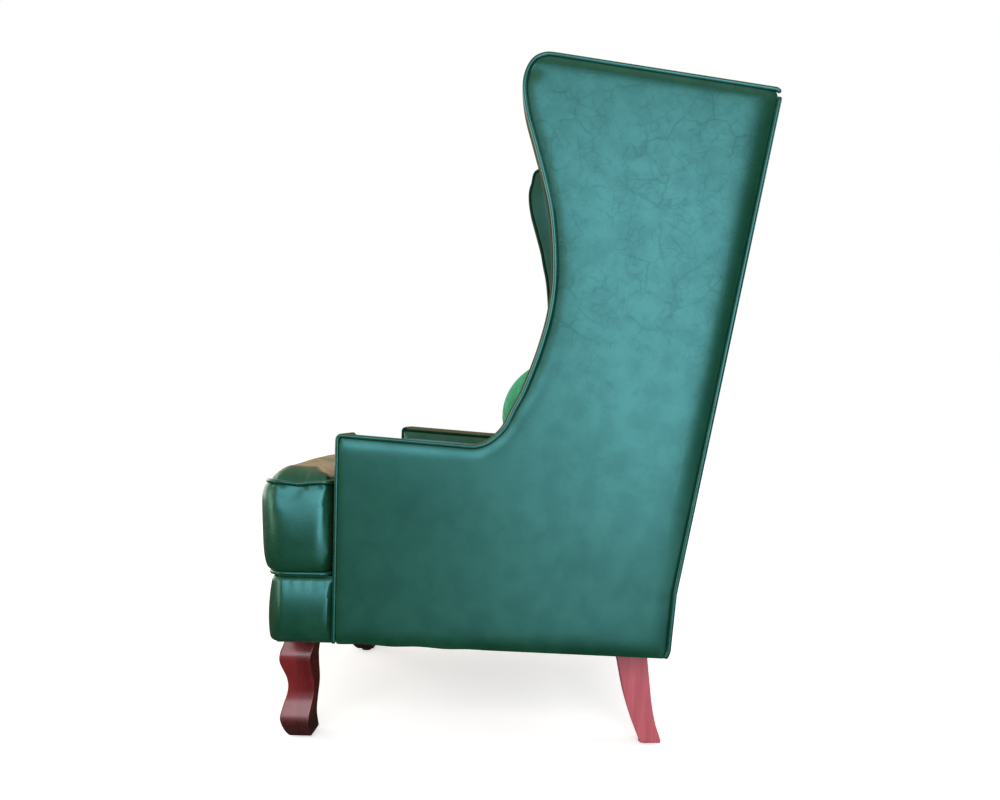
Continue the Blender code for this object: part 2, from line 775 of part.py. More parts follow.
def lumbar_pillow(cushion):
    """A puffed rectangle that stands on the cushion and leans on the inside back.

    Both faces swell from one seam around its edge.
    """
    pillow_half_width = arm_inner_x - PILLOW_SIDE_ROOM
    half_height = PILLOW_HEIGHT / 2
    half_thickness = PILLOW_THICKNESS / 2
    up = Vector((0, math.sin(PILLOW_TILT), math.cos(PILLOW_TILT)))
    out = Vector((0, -math.cos(PILLOW_TILT), math.sin(PILLOW_TILT)))
    faces = {}
    for face in (1, -1):
        for column in range(PILLOW_COLUMNS + 1):
            for row in range(PILLOW_ROWS + 1):
                u = math.sin(math.pi / 2 * (2 * column / PILLOW_COLUMNS - 1))
                v = math.sin(math.pi / 2 * (2 * row / PILLOW_ROWS - 1))
                at_edge = column in (0, PILLOW_COLUMNS) or row in (0, PILLOW_ROWS)
                swell = (1 - u ** 4) ** PILLOW_SIDE_FULLNESS * (1 - v * v) ** PILLOW_TOP_FULLNESS
                stand = 0 if at_edge else half_thickness * swell
                x = u * (pillow_half_width - PILLOW_DRAW_IN * (1 - v * v))
                rise = v * (half_height - PILLOW_DRAW_IN / 2 * (1 - u * u))
                faces[face, column, row] = Vector((x, 0, 0)) + up * rise + out * face * stand
    middle_z = deck_top_z + CUSHION_THICKNESS + half_height
    depth = half_thickness / math.cos(PILLOW_TILT)
    middle_y = inside_back(middle_z) - INSIDE_BACK_CROWN - depth - PILLOW_LEAN_GAP
    place = Vector((0, middle_y, middle_z + half_height))
    bm = bmesh.new()
    verts = {}
    for key, point in faces.items():
        face, column, row = key
        at_edge = column in (0, PILLOW_COLUMNS) or row in (0, PILLOW_ROWS)
        if face == -1 and at_edge:
            verts[key] = verts[1, column, row]
        else:
            verts[key] = bm.verts.new(point + place)
    for face in (1, -1):
        for column in range(PILLOW_COLUMNS):
            for row in range(PILLOW_ROWS):
                corners = [verts[face, column + i, row + j] for i, j in ((0, 0), (1, 0), (1, 1), (0, 1))]
                bm.faces.new(corners)
    seat = bmesh.new()
    seat.from_mesh(cushion.data)
    bmesh.ops.translate(bm, vec=(0, 0, GAP - room_below(bm, seat)), verts=bm.verts)
    seat.free()
    mesh_object("lumbar_pillow", bm, "velvet")


def inside_back_pad():
    """The foam of the inside back, crowned towards the sitter, with its top hooked over the crest rail."""
    lower_x = arm_inner_x - GAP
    upper_x = wing_inner_x - GAP
    ledge_z = arm_top(inside_back(arm_rear_z)) + GAP
    hook_z = crest_rail_z + GAP
    third = (hook_z - ledge_z) / 3
    levels = (
        (deck_top_z + GAP, lower_x, False),
        ((deck_top_z + ledge_z) / 2, lower_x, False),
        (ledge_z, lower_x, False),
        (ledge_z + GAP, upper_x, False),
        (ledge_z + third, upper_x, False),
        (ledge_z + 2 * third, upper_x, False),
        (hook_z, upper_x, False),
        (hook_z + GAP, upper_x, True),
        (crest_z, upper_x, True),
    )
    rings = []
    for z, x, hooked in levels:
        face = inside_back(z) + (BORDER_THICKNESS if z == crest_z else 0)
        back = rear_edge(z) - back_frame_depth if hooked else back_post_face(z) - WEB_THICKNESS - 2 * GAP
        corner = INSIDE_BACK_ROUND
        cut = corner / 3
        rings.append([
            (-x, back, z),
            (-x, face + corner, z),
            (-x + cut, face + cut, z),
            (-x + corner, face, z),
            (0, face - INSIDE_BACK_CROWN, z),
            (x - corner, face, z),
            (x - cut, face + cut, z),
            (x, face + corner, z),
            (x, back, z),
        ])
    loft("inside_back_pad", rings, "leather")


def raked_prism(name, heights, depth_near, depth_far, low_x, high_x, finish, edge=0.0):
    """A piece that follows the rear edge, between two depths ahead of it."""
    outline = [(rear_edge(z) - depth_near, z) for z in heights]
    outline += [(rear_edge(z) - depth_far, z) for z in reversed(heights)]
    return prism(name, outline, "X", low_x, high_x, finish, edge)


def outside_back_panel():
    foot = underside(rear_foot_y)
    heights = (foot, knee_z, crest_z)
    reach = panel_inner_x - GAP
    raked_prism("outside_back_panel", heights, PANEL_PROUD, welt_depth, -reach, reach, "leather",
                PANEL_EDGE_ROUND)


def back_frame():
    post_far = back_frame_depth + BACK_POST_DEPTH
    foot = frame_foot(back_post_face(UNDERSIDE_HEIGHT))
    post_top = top_line(border_depth + WING_RAIL_HEIGHT + 2 * GAP)(rear_top_y)
    for side_name, side in SIDES:
        low, high = between(side, wing_frame_x, frame_x)
        raked_prism(f"back_post_{side_name}", (foot, knee_z, post_top), back_frame_depth, post_far,
                    low, high, "beech")
    reach = wing_frame_x - GAP
    rail_far = back_frame_depth + RAIL_THICKNESS
    raked_prism("rear_rail", (foot, rail_top_z), back_frame_depth, rail_far, -reach, reach, "beech")
    lower_z = deck_top_z + LOWER_BACK_RAIL_RISE
    lower = (lower_z, lower_z + LOWER_BACK_RAIL_HEIGHT)
    raked_prism("lower_back_rail", lower, back_frame_depth, rail_far, -reach, reach, "beech")
    crest = (crest_rail_z - CREST_RAIL_HEIGHT, crest_rail_z - GAP)
    raked_prism("crest_rail", crest, back_frame_depth, rail_far, -reach, reach, "beech")


def seat_frame():
    front = base_front_y + FRONT_BORDER_THICKNESS + GAP
    reach = side_rail_x - GAP
    box("front_rail", (-reach, front, frame_foot(front)), (reach, front + RAIL_THICKNESS, rail_top_z),
        "beech")
    rear = back_post_face(rear_foot_z) - GAP
    outline = ((front, frame_foot(front)), (arm_front_y, frame_foot(arm_front_y)), (rear, frame_foot(rear)),
               (rear, rail_top_z), (front, rail_top_z))
    for side_name, side in SIDES:
        low, high = between(side, side_rail_x, frame_x)
        prism(f"side_rail_{side_name}", outline, "X", low, high, "beech")


def arm_frame():
    post_front = arm_front_y + border_depth
    post_rear = post_front + ARM_POST_THICKNESS
    rail_foot_z = arm_top(back_post_face(arm_rear_z)) - arm_rail_depth
    rail_rear = back_post_face(rail_foot_z) - GAP
    for side_name, side in SIDES:
        low, high = between(side, arm_frame_x, frame_x)
        post = (
            (post_front, rail_top_z + GAP),
            (post_rear, rail_top_z + GAP),
            (post_rear, arm_top(post_rear) - arm_rail_depth),
            (post_front, arm_top(post_front) - arm_rail_depth),
        )
        prism(f"arm_post_{side_name}", post, "X", low, high, "beech")
        rail = (
            (post_front, arm_top(post_front) - arm_rail_depth + GAP),
            (rail_rear, arm_top(rail_rear) - arm_rail_depth + GAP),
            (rail_rear, arm_top(rail_rear) - border_depth),
            (post_front, arm_top(post_front) - border_depth),
        )
        prism(f"arm_rail_{side_name}", rail, "X", low, high, "beech")


def wing_frame():
    """A sawn rib behind each wing's front edge, and a rail under its top that meets the back post."""
    near = border_depth
    far = near + WING_RIB_DEPTH
    rail_top = top_line(near + GAP)
    rail_foot = top_line(near + WING_RAIL_HEIGHT + GAP)
    waist_z = arm_rear_z + WING_RISE * wing_edge_shares[2][1]
    face = offset_path(border_edge, near)[sweep_index:-1]
    back = offset_path(border_edge, far)[sweep_index:-1]
    kept = [index for index, point in enumerate(wing_edge) if point[1] > waist_z
            and all(z < rail_foot(y) - GAP for y, z in (face[index], back[index]))]
    rib = [face[i] for i in kept] + [back[i] for i in reversed(kept)]
    foot_far, foot_near = rib[-1][0], rib[0][0]
    rib += [(y, arm_top(y) - border_depth + GAP) for y in (foot_far, foot_near)]
    end = rear_edge(rail_foot(rear_top_y)) - back_frame_depth
    ahead = face[kept[-1] + 1:]
    front = ahead[0][0]
    rail = [(front, rail_foot(front))] + ahead + [(end, rail_top(end)), (end, rail_foot(end))]
    for side_name, side in SIDES:
        low, high = between(side, wing_frame_x, frame_x)
        prism(f"wing_rib_{side_name}", rib, "X", low, high, "beech")
        prism(f"wing_top_rail_{side_name}", rail, "X", low, high, "beech")


def webbing():
    """Woven bands: the ones across and the ones along are one mat, laid on the rails."""
    front = base_front_y + FRONT_BORDER_THICKNESS + GAP
    rear = rear_edge(rail_top_z) - back_frame_depth
    reach = arm_inner_x - WEB_MARGIN
    pitch = (2 * reach - WEB_WIDTH) / (SEAT_WEB_COUNT - 1)
    bands = []
    for index in range(SEAT_WEB_COUNT):
        low = -reach + index * pitch
        bands.append(((low, front, web_z), (low + WEB_WIDTH, rear, web_z + WEB_THICKNESS)))
    across = (front + rear - WEB_WIDTH) / 2
    end_x = frame_x - WEB_THICKNESS
    bands.append(((-end_x, across, web_z), (end_x, across + WEB_WIDTH, web_z + WEB_THICKNESS)))
    pieces = [box(f"seat_web_{index}", low, high, None) for index, (low, high) in enumerate(bands)]
    joined("seat_webbing", pieces, "jute")

    low_z = arm_rear_z + WEB_MARGIN
    high_z = crest_rail_z - CREST_RAIL_HEIGHT - WEB_MARGIN
    pitch = (high_z - low_z - WEB_WIDTH) / (BACK_WEB_COUNT - 1)
    strips = []
    for index in range(BACK_WEB_COUNT):
        z = low_z + index * pitch
        strips.append((z, z + WEB_WIDTH, frame_x))
    strips.append((low_z, high_z, WEB_WIDTH / 2))
    pieces = []
    for index, (bottom, top, half) in enumerate(strips):
        face = back_post_face(bottom), back_post_face(top)
        outline = ((face[0] - GAP, bottom), (face[0] - GAP - WEB_THICKNESS, bottom),
                   (face[1] - GAP - WEB_THICKNESS, top), (face[1] - GAP, top))
        pieces.append(prism(f"back_web_{index}", outline, "X", -half, half, None))
    joined("back_webbing", pieces, "jute")


def joined(name, pieces, finish):
    """One body from overlapping pieces."""
    base = pieces[0]
    base.name = name
    base.data.name = name
    for piece in pieces[1:]:
        helper(piece)
        union = base.modifiers.new("join", "BOOLEAN")
        union.operation = "UNION"
        union.object = piece
    finish_of(base, finish)


def helper(obj):
    obj.hide_render = True
    obj.display_type = "WIRE"


def cylinder(name, centre, radius, low_z, high_z, sides, finish):
    outline = [(centre[0] + radius * math.cos(2 * math.pi * i / sides),
                centre[1] + radius * math.sin(2 * math.pi * i / sides)) for i in range(sides)]
    return prism(name, outline, "Z", low_z, high_z, finish)


def drilled(obj, cutter):
    cut = obj.modifiers.new("bolt hole", "BOOLEAN")
    cut.operation = "DIFFERENCE"
    cut.object = cutter


def at_height(nodes, height):
    """Depth of a profile at a height between its nodes."""
    for (low_y, low), (high_y, high) in zip(nodes, nodes[1:]):
        if min(low, high) <= height <= max(low, high):
            return low_y + (high_y - low_y) * (height - low) / (high - low)
    return nodes[-1][0]


def profile(shares, start_y, depth, foot_z):
    """The curve through a leg's shares: depths from start_y, heights from the foot to the underside."""
    nodes = []
    for along, up in shares:
        y = start_y + depth * along
        nodes.append((y, foot_z + (underside(y) - GAP - foot_z) * up))
    return smooth_curve(nodes, CURVE_STEPS)


def front_leg(name, side, start_y, foot_z, outer_x):
    """A square leg whose front and outer faces follow one curve, and whose other two follow another."""
    face = profile(front_leg_face_shares, start_y, FRONT_LEG_DEPTH, foot_z)
    back = profile(front_leg_back_shares, start_y, FRONT_LEG_DEPTH, foot_z)
    rings = []
    for index in range(FRONT_LEG_SECTIONS + 1):
        z = foot_z + (UNDERSIDE_HEIGHT - GAP - foot_z) * index / FRONT_LEG_SECTIONS
        near, far = at_height(face, z), at_height(back, z)
        outer, inner = side * (outer_x - near + start_y), side * (outer_x - far + start_y)
        rings.append([(outer, near, z), (inner, near, z), (inner, far, z), (outer, far, z)])
    return rounded_edges(loft(name, rings, "cherry"), LEG_ROUND)


def rear_leg(name, side, start_y, foot_z, outer_x):
    """A sabre leg sawn from one board."""
    outline = profile(rear_leg_face_shares, start_y, REAR_LEG_DEPTH, foot_z)
    outline += profile(rear_leg_back_shares, start_y, REAR_LEG_DEPTH, foot_z)
    outline.append((start_y + REAR_LEG_DEPTH * REAR_SOLE_SHARE, foot_z))
    low, high = between(side, outer_x - REAR_LEG_WIDTH, outer_x)
    return prism(name, outline, "X", low, high, "rosewood", LEG_ROUND)


def legs():
    """Each leg holds a bolt that runs up into the frame, and stands on a glide."""
    foot_z = GLIDE_HEIGHT + GAP
    outer_x = half_width - LEG_INSET
    front_sole = (front_leg_face_shares[0][0] + front_leg_back_shares[-1][0]) / 2
    rear_sole = (rear_leg_face_shares[0][0] + REAR_SOLE_SHARE) / 2
    styles = (
        ("front", front_leg, base_front_y - FRONT_LEG_SETBACK - WELT_RADIUS, FRONT_LEG_DEPTH,
         FRONT_LEG_DEPTH, front_sole, front_leg_face_shares[-1][0], front_leg_back_shares[0][0]),
        ("rear", rear_leg, rear_foot_y - REAR_LEG_FORWARD, REAR_LEG_DEPTH,
         REAR_LEG_WIDTH, rear_sole, rear_leg_face_shares[-1][0], rear_leg_back_shares[0][0]),
    )
    cutters = []
    for end, leg_of, start_y, depth, width, sole, top_start, top_end in styles:
        middle_y = start_y + depth * (top_start + top_end) / 2
        bolt_low = underside(middle_y) - GAP - BOLT_IN_LEG
        bolt_high = bolt_low + BOLT_LENGTH
        for side_name, side in SIDES:
            leg = leg_of(f"{end}_leg_{side_name}", side, start_y, foot_z, outer_x)
            middle_x = side * (outer_x - width / 2)
            glide_x = side * (outer_x - depth * sole) if end == "front" else middle_x
            glide = cylinder(f"{end}_glide_{side_name}", (glide_x, start_y + depth * sole), GLIDE_RADIUS,
                             0, GLIDE_HEIGHT, GLIDE_SIDES, "nylon")
            rounded_edges(glide, GLIDE_ROUND)
            centre = (middle_x, middle_y)
            cylinder(f"hanger_bolt_{end}_{side_name}", centre, BOLT_RADIUS, bolt_low, bolt_high,
                     BOLT_SIDES, "steel")
            cutter = cylinder(f"bolt_hole_{end}_{side_name}", centre, BOLT_RADIUS + GAP,
                              bolt_low - GAP, bolt_high + GAP, BOLT_SIDES, None)
            helper(cutter)
            drilled(leg, cutter)
            cutters.append((end, side_name, side, centre, cutter))
    return cutters


def corner_blocks(cutters):
    """Blocks in the frame's corners: the rear ones take the leg bolts."""
    front = base_front_y + FRONT_BORDER_THICKNESS + GAP + RAIL_THICKNESS + GAP
    for end, side_name, side, centre, cutter in cutters:
        if end == "front":
            low, high = between(side, side_rail_x - GAP - BLOCK_LENGTH, side_rail_x - GAP)
            start, stop = front, front + BLOCK_DEPTH
        else:
            low, high = between(side, wing_frame_x - GAP - BLOCK_LENGTH, wing_frame_x - GAP)
            stop = rear_edge(rear_foot_z) - back_frame_depth - RAIL_THICKNESS - GAP
            start = stop - BLOCK_DEPTH
        outline = ((start, frame_foot(start)), (stop, frame_foot(stop)),
                   (stop, frame_foot(stop) + BLOCK_HEIGHT), (start, frame_foot(start) + BLOCK_HEIGHT))
        block = prism(f"corner_block_{end}_{side_name}", outline, "X", low, high, "beech")
        if end == "rear":
            drilled(block, cutter)
        else:
            drilled(bpy.data.objects["front_rail"], cutter)


def dust_cover(cutters):
    reach = frame_x - DUST_COVER_MARGIN
    front = base_front_y + FRONT_BORDER_THICKNESS + GAP + DUST_COVER_MARGIN
    rear = rear_foot_y - back_frame_depth
    outline = [(y, underside(y)) for y in (front, arm_front_y, rear)]
    outline += [(y, z + DUST_COVER_THICKNESS) for y, z in reversed(outline)]
    cover = prism("dust_cover", outline, "X", -reach, reach, "cambric")
    for *_, cutter in cutters:
        drilled(cover, cutter)


def build_chair():
    for obj in list(bpy.data.objects):
        bpy.data.objects.remove(obj, do_unlink=True)
    seat_frame()
    back_frame()
    arm_frame()
    wing_frame()
    webbing()
    seat_deck()
    front_border()
    for side_name, side in SIDES:
        outside_panel(side_name, side)
        side_welt(side_name, side)
        back_welt(side_name, side)
        arm_border(side_name, side)
        wing_border(side_name, side)
        inside_arm_pad(side_name, side)
        arm_ledge_pad(side_name, side)
        inside_wing_pad(side_name, side)
    inside_back_pad()
    outside_back_panel()
    cushion = seat_cushion()
    cushion_welts()
    lumbar_pillow(cushion)
    cutters = legs()
    corner_blocks(cutters)
    dust_cover(cutters)


build_chair()
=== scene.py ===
# Dressed model of the high-back wing chair: leather covers, piping, cushion, pillow and turned-out legs.
import math

import bmesh
import bpy
import numpy as np
from mathutils import Euler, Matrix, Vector


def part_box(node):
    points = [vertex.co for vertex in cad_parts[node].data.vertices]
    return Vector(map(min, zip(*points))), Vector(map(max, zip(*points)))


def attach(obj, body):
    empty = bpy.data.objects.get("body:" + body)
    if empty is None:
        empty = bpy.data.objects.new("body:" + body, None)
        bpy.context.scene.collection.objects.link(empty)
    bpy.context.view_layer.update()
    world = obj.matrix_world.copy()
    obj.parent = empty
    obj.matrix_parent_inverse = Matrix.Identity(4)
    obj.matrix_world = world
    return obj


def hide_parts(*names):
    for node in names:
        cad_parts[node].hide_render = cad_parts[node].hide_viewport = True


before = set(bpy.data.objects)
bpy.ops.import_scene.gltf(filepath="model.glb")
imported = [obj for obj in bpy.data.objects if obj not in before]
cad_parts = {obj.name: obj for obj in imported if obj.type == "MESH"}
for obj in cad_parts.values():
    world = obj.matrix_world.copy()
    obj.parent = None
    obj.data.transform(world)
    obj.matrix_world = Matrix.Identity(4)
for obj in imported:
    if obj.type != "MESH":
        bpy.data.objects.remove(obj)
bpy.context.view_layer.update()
print("frame loaded:", len(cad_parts), "nodes")

# Sizes that the covers share with the CAD frame, in metres
chair = {
    "halfWidth": 0.375,
    "coverX": 0.3671,            # inner face of the outside panels
    "armInnerX": 0.2625,
    "wingInnerX": 0.307,
    "armFrontY": -0.3005,
    "sweepY": -0.074,
    "armFrontZ": 0.5317,
    "armRearZ": 0.517,
    "undersideZ": 0.187,
    "rearFootY": 0.2537,
    "rearFootZ": 0.1725,
    "kneeY": 0.2631,
    "kneeZ": 0.2787,
    "shoulderZ": 1.0885,
    "rake": 0.1549,
    "deckZ": 0.2966,
    "crestZ": 1.098,
    "insideBackY": 0.0810,       # the inside back's face, at the deck
    "insideBackLean": 0.205,
    "backInset": 0.0082,         # rear edge to the frame behind the outside back
    "postInset": 0.0708,         # rear edge to the front of the back posts
    "weltRadius": 0.0038,
    "seamInset": 0.0078,
    "gap": 0.0003,
}
sides = (("left", 1), ("right", -1))


def underside(y):
    # level ahead of the arms, then a straight fall to the rear foot
    share = np.clip((y - chair["armFrontY"]) / (chair["rearFootY"] - chair["armFrontY"]), 0, None)
    return chair["undersideZ"] - (chair["undersideZ"] - chair["rearFootZ"]) * share


def armTop(y):
    # straight slope from the arm's front corner to the wing's sweep
    share = (y - chair["armFrontY"]) / (chair["sweepY"] - chair["armFrontY"])
    return chair["armFrontZ"] + (chair["armRearZ"] - chair["armFrontZ"]) * share


def rearEdge(z):
    # straight lean above the knee, drawn in below it
    above = chair["rake"] / (chair["shoulderZ"] - chair["kneeZ"])
    below = (chair["kneeY"] - chair["rearFootY"]) / (chair["kneeZ"] - chair["rearFootZ"])
    return chair["kneeY"] + (z - chair["kneeZ"]) * np.where(z > chair["kneeZ"], above, below)


def insideBack(z):
    # face of the inside back: a straight lean
    return chair["insideBackY"] + chair["insideBackLean"] * (z - chair["deckZ"])


def smoothStep(low, high, value):
    # 0 below low, 1 above high, an even S between them
    share = np.clip((value - low) / (high - low), 0, 1)
    return share * share * (3 - 2 * share)


def quarterRound(share):
    # a quarter circle's rise, steep at 0 and level at 1
    return np.sqrt(1 - (1 - np.clip(share, 0, 1)) ** 2)


def curveThrough(nodes, steps):
    # Catmull-Rom curve through the nodes, with this many spans between two of them
    nodes = np.asarray(nodes, float)
    padded = np.concatenate([nodes[:1], nodes, nodes[-1:]])[:, None]
    a, b, c, d = padded[:-3], padded[1:-2], padded[2:-1], padded[3:]
    t = (np.arange(steps) / steps)[None, :, None]
    curve = 0.5 * (2 * b + (c - a) * t + (2 * a - 5 * b + 4 * c - d) * t ** 2 + (3 * b - a - 3 * c + d) * t ** 3)
    return np.concatenate([curve.reshape(-1, nodes.shape[1]), nodes[-1:]])


def roundedCorner(before, corner, after, radius, steps=10):
    # arc of this radius that touches both straight runs of a corner
    corner = np.asarray(corner, float)
    first, second = ((end - corner) / np.linalg.norm(end - corner) for end in (before, after))
    half = math.acos(np.clip(first @ second, -1, 1)) / 2
    centre = corner + (first + second) / np.linalg.norm(first + second) * radius / math.sin(half)
    start, end = (corner + way * radius / math.tan(half) - centre for way in (first, second))
    sweep = math.atan2(start[0] * end[1] - start[1] * end[0], start @ end)
    angle = sweep * np.linspace(0, 1, steps + 1)[:, None]
    return centre + start * np.cos(angle) + np.array((-start[1], start[0])) * np.sin(angle)


def runAlong(path):
    # distance walked along the path to each of its points
    return np.concatenate([[0], np.cumsum(np.linalg.norm(np.diff(path, axis=0), axis=1))])


def evenly(path, spacing, closed=False):
    # the path walked at equal steps of about this length
    path = np.concatenate([path, path[:1]]) if closed else np.asarray(path, float)
    run = runAlong(path)
    marks = np.linspace(0, run[-1], max(2, int(round(run[-1] / spacing))) + 1)
    even = np.stack([np.interp(marks, run, axis) for axis in path.T], axis=1)
    return even[:-1] if closed else even


def directions(path, closed=False):
    # unit direction at each point, from its two neighbours
    if closed:
        run = np.roll(path, -1, axis=0) - np.roll(path, 1, axis=0)
    else:
        run = np.gradient(path, axis=0)
    return run / np.maximum(np.linalg.norm(run, axis=1, keepdims=True), 1e-9)


def rightOf(path, closed=False):
    # unit vectors square to the flat path, on the right of its direction
    along = directions(path, closed)
    return np.stack([along[:, 1], -along[:, 0]], axis=1)


def offsetPath(path, distance):
    # the flat path moved to the right of its direction
    return path + rightOf(path) * np.broadcast_to(distance, len(path))[:, None]


def atX(path, x):
    # the flat (y, z) path at this X
    return np.column_stack([np.full(len(path), x), path])


def sidePlace(side):
    # puts flat (y, z) points at their distance from the middle, on one side of the chair
    return lambda y, z, x: np.stack([side * x, y, z], axis=-1)


def distanceTo(path, points, closed=False):
    # distance from each point to the path's nearest segment, with that segment's number
    starts = path if closed else path[:-1]
    run = (np.roll(path, -1, axis=0) if closed else path[1:]) - starts
    size = np.maximum((run ** 2).sum(axis=1), 1e-12)
    found = []
    for first in range(0, len(points), 4096):
        offset = points[first:first + 4096, None] - starts
        share = np.clip((offset * run).sum(axis=2) / size, 0, 1)
        gaps = np.linalg.norm(offset - run * share[..., None], axis=2)
        found.append((gaps.min(axis=1), gaps.argmin(axis=1)))
    return [np.concatenate(part) for part in zip(*found)]


def ripple(a, b, waves):
    # sum of slanted sine waves: each has a wavelength, a heading, a phase and a height
    return sum(height * np.sin(2 * math.pi * (a * math.cos(heading) + b * math.sin(heading)) / length + phase)
               for length, heading, phase, height in waves)


def newObject(name, data):
    obj = bpy.data.objects.new(name, data)
    bpy.context.scene.collection.objects.link(obj)
    return obj


def newPiece(name, points, faces, weld=0, sharp=True):
    # a smooth closed mesh with its faces turned outwards
    mesh = bpy.data.meshes.new(name)
    mesh.from_pydata(points.tolist(), [], faces)
    bm = bmesh.new()
    bm.from_mesh(mesh)
    if weld:
        bmesh.ops.remove_doubles(bm, verts=bm.verts, dist=weld)
    bmesh.ops.recalc_face_normals(bm, faces=bm.faces)
    if bm.calc_volume(signed=True) < 0:
        bmesh.ops.reverse_faces(bm, faces=bm.faces)
    bm.to_mesh(mesh)
    bm.free()
    mesh.shade_smooth()
    if sharp:
        mesh.set_sharp_from_angle(angle=math.radians(50))
    return newObject(name, mesh)


def meshFromGrid(name, grid, closedRows=False, poles=(None, None)):
    # grid[i, j] is a point; neighbours make quads, and an open end is closed by a face or a pole
    rows, columns = grid.shape[:2]
    index = np.arange(rows * columns).reshape(rows, columns)
    lower, upper = (index, np.roll(index, -1, axis=0)) if closedRows else (index[:-1], index[1:])
    quads = np.stack([lower, np.roll(lower, -1, axis=1), np.roll(upper, -1, axis=1), upper], axis=-1)
    faces = quads.reshape(-1, 4).tolist()
    points = grid.reshape(-1, 3)
    for ring, pole in () if closedRows else ((index[0], poles[0]), (index[-1], poles[1])):
        if pole is None:
            faces.append(ring.tolist())
        else:
            faces += np.stack([ring, np.roll(ring, -1), np.full(len(ring), len(points))], axis=1).tolist()
            points = np.concatenate([points, [pole]])
    return newPiece(name, points, faces)


def backToBack(front, rear):
    # two grids as one list of points, with the front's numbers and the faces of both
    index = np.arange(front[..., 0].size).reshape(front.shape[:2])
    quads = np.stack([index[:-1, :-1], index[1:, :-1], index[1:, 1:], index[:-1, 1:]], axis=-1).reshape(-1, 4)
    points = np.concatenate([front.reshape(-1, 3), rear.reshape(-1, 3)])
    return points, index, np.concatenate([quads, quads[:, ::-1] + index.size]).tolist()


def tubeAlong(name, path, radius, sideCount, closed):
    # a round section carried along the path without twist, with domed ends where it is open
    along = directions(path, closed)
    normal = np.cross(along[0], (0.3, 0.2, 0.93))
    normals = []
    for direction in along:
        normal = normal - direction * (normal @ direction)
        normal = normal / np.linalg.norm(normal)
        normals.append(normal)
    angle = np.linspace(0, 2 * math.pi, sideCount, endpoint=False)[:, None]
    section = np.cos(angle) * np.array(normals)[:, None] + np.sin(angle) * np.cross(along, normals)[:, None]
    grid = path[:, None] + section * radius
    if closed:
        return meshFromGrid(name, grid, closedRows=True)
    turns = np.radians([70, 45, 20])[:, None, None]
    first, last = (path[end] + radius * (section[end] * np.cos(turns) + outward * np.sin(turns))
                   for end, outward in ((0, -along[0]), (-1, along[-1])))
    poles = (path[0] - along[0] * radius, path[-1] + along[-1] * radius)
    return meshFromGrid(name, np.concatenate([first, grid, last[::-1]]), poles=poles)


def padShell(name, outline, pole, place, face, back, reaches):
    # a closed pad: rings shrink from the outline to the pole, the face's height comes from the
    # distance to the outline, and the back is flat
    spokes = outline - pole
    shares = [1 - np.minimum(reach / np.linalg.norm(spokes, axis=1), 0.25) for reach in (0, *reaches)]
    shares += [shares[-1] * share for share in np.linspace(1, 0.03, 34)[1:]]
    rings = pole + spokes * np.array(shares)[:, :, None]
    flat = rings.reshape(-1, 2)
    depth, _ = distanceTo(outline, flat, closed=True)
    depth[:len(outline)] = 0
    heights = face(flat, depth).reshape(len(rings), -1)
    backRings = pole + spokes * np.array([0.5, 0.98, 1])[:, None, None]
    rear = place(backRings[..., 0], backRings[..., 1], np.full(backRings.shape[:2], back))
    grid = np.concatenate([rear, place(rings[..., 0], rings[..., 1], heights)])
    return meshFromGrid(name, grid, poles=(place(*pole, back), place(*pole, heights[-1, 0])))


def dress(obj, material, nodes=()):
    # gives a piece its material and its slot, seats it on the frame, and hides what it stands for
    obj.data.materials.clear()
    obj.data.materials.append(material)
    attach(obj, "root")
    if nodes:
        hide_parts(*nodes)


def piping(name, path, radius, material, nodes=(), sideCount=12, closed=False):
    dress(tubeAlong(name, path, radius, sideCount, closed), material, nodes)


class Wiring:
    # short ways to add shader nodes to one tree and to link them
    def __init__(self, tree):
        self.tree = tree

    def feed(self, node, values):
        for label, value in values.items():
            if isinstance(value, bpy.types.NodeSocket):
                self.tree.links.new(value, node.inputs[label])
            else:
                node.inputs[label].default_value = value
        return node

    def node(self, kind, values={}, **settings):
        made = self.tree.nodes.new(f"ShaderNode{kind}")
        for key, value in settings.items():
            setattr(made, key, value)
        return self.feed(made, values)

    def math(self, operation, a, b):
        return self.node("Math", {0: a, 1: b}, operation=operation).outputs[0]

    def times(self, a, b):
        return self.math("MULTIPLY", a, b)

    def plus(self, a, b):
        return self.math("ADD", a, b)

    def vectorMath(self, operation, *values):
        return self.node("VectorMath", dict(enumerate(values)), operation=operation).outputs[0]

    def split(self, vector):
        return self.node("SeparateXYZ", {0: vector}).outputs

    def span(self, value, low, high, toLow=0, toHigh=1):
        # toLow below low, toHigh above high, an even S between them
        return self.node("MapRange", {
            "Value": value, "From Min": low, "From Max": high, "To Min": toLow, "To Max": toHigh,
        }, interpolation_type="SMOOTHSTEP").outputs["Result"]

    def noise(self, vector, scale, detail=3, rough=0.5, out="Fac"):
        values = {"Vector": vector, "Scale": scale, "Detail": detail, "Roughness": rough}
        return self.node("TexNoise", values).outputs[out]

    def mix(self, factor, a, b):
        return self.node("Mix", {"Factor": factor, 6: a, 7: b}, data_type="RGBA").outputs[2]

    def stretched(self, vector, along):
        return self.node("Mapping", {"Vector": vector, "Scale": (1, 1, along)}).outputs["Vector"]

    def warped(self, vector, scale, amount):
        # pushed about by coloured noise, by half this amount either way
        centred = self.vectorMath("SUBTRACT", self.noise(vector, scale, 2, out="Color"), (0.5,) * 3)
        return self.vectorMath("MULTIPLY_ADD", centred, (amount,) * 3, vector)

    def bump(self, height, distance, strength, invert=False, **under):
        values = {"Height": height, "Distance": distance, "Strength": strength, **under}
        return self.node("Bump", values, invert=invert).outputs["Normal"]

    def seenDirectly(self, rays):
        return self.math("MAXIMUM", rays["Is Camera Ray"], rays["Is Transmission Ray"])


# Shader groups: each reads a vector, and some one more value
groups = {}


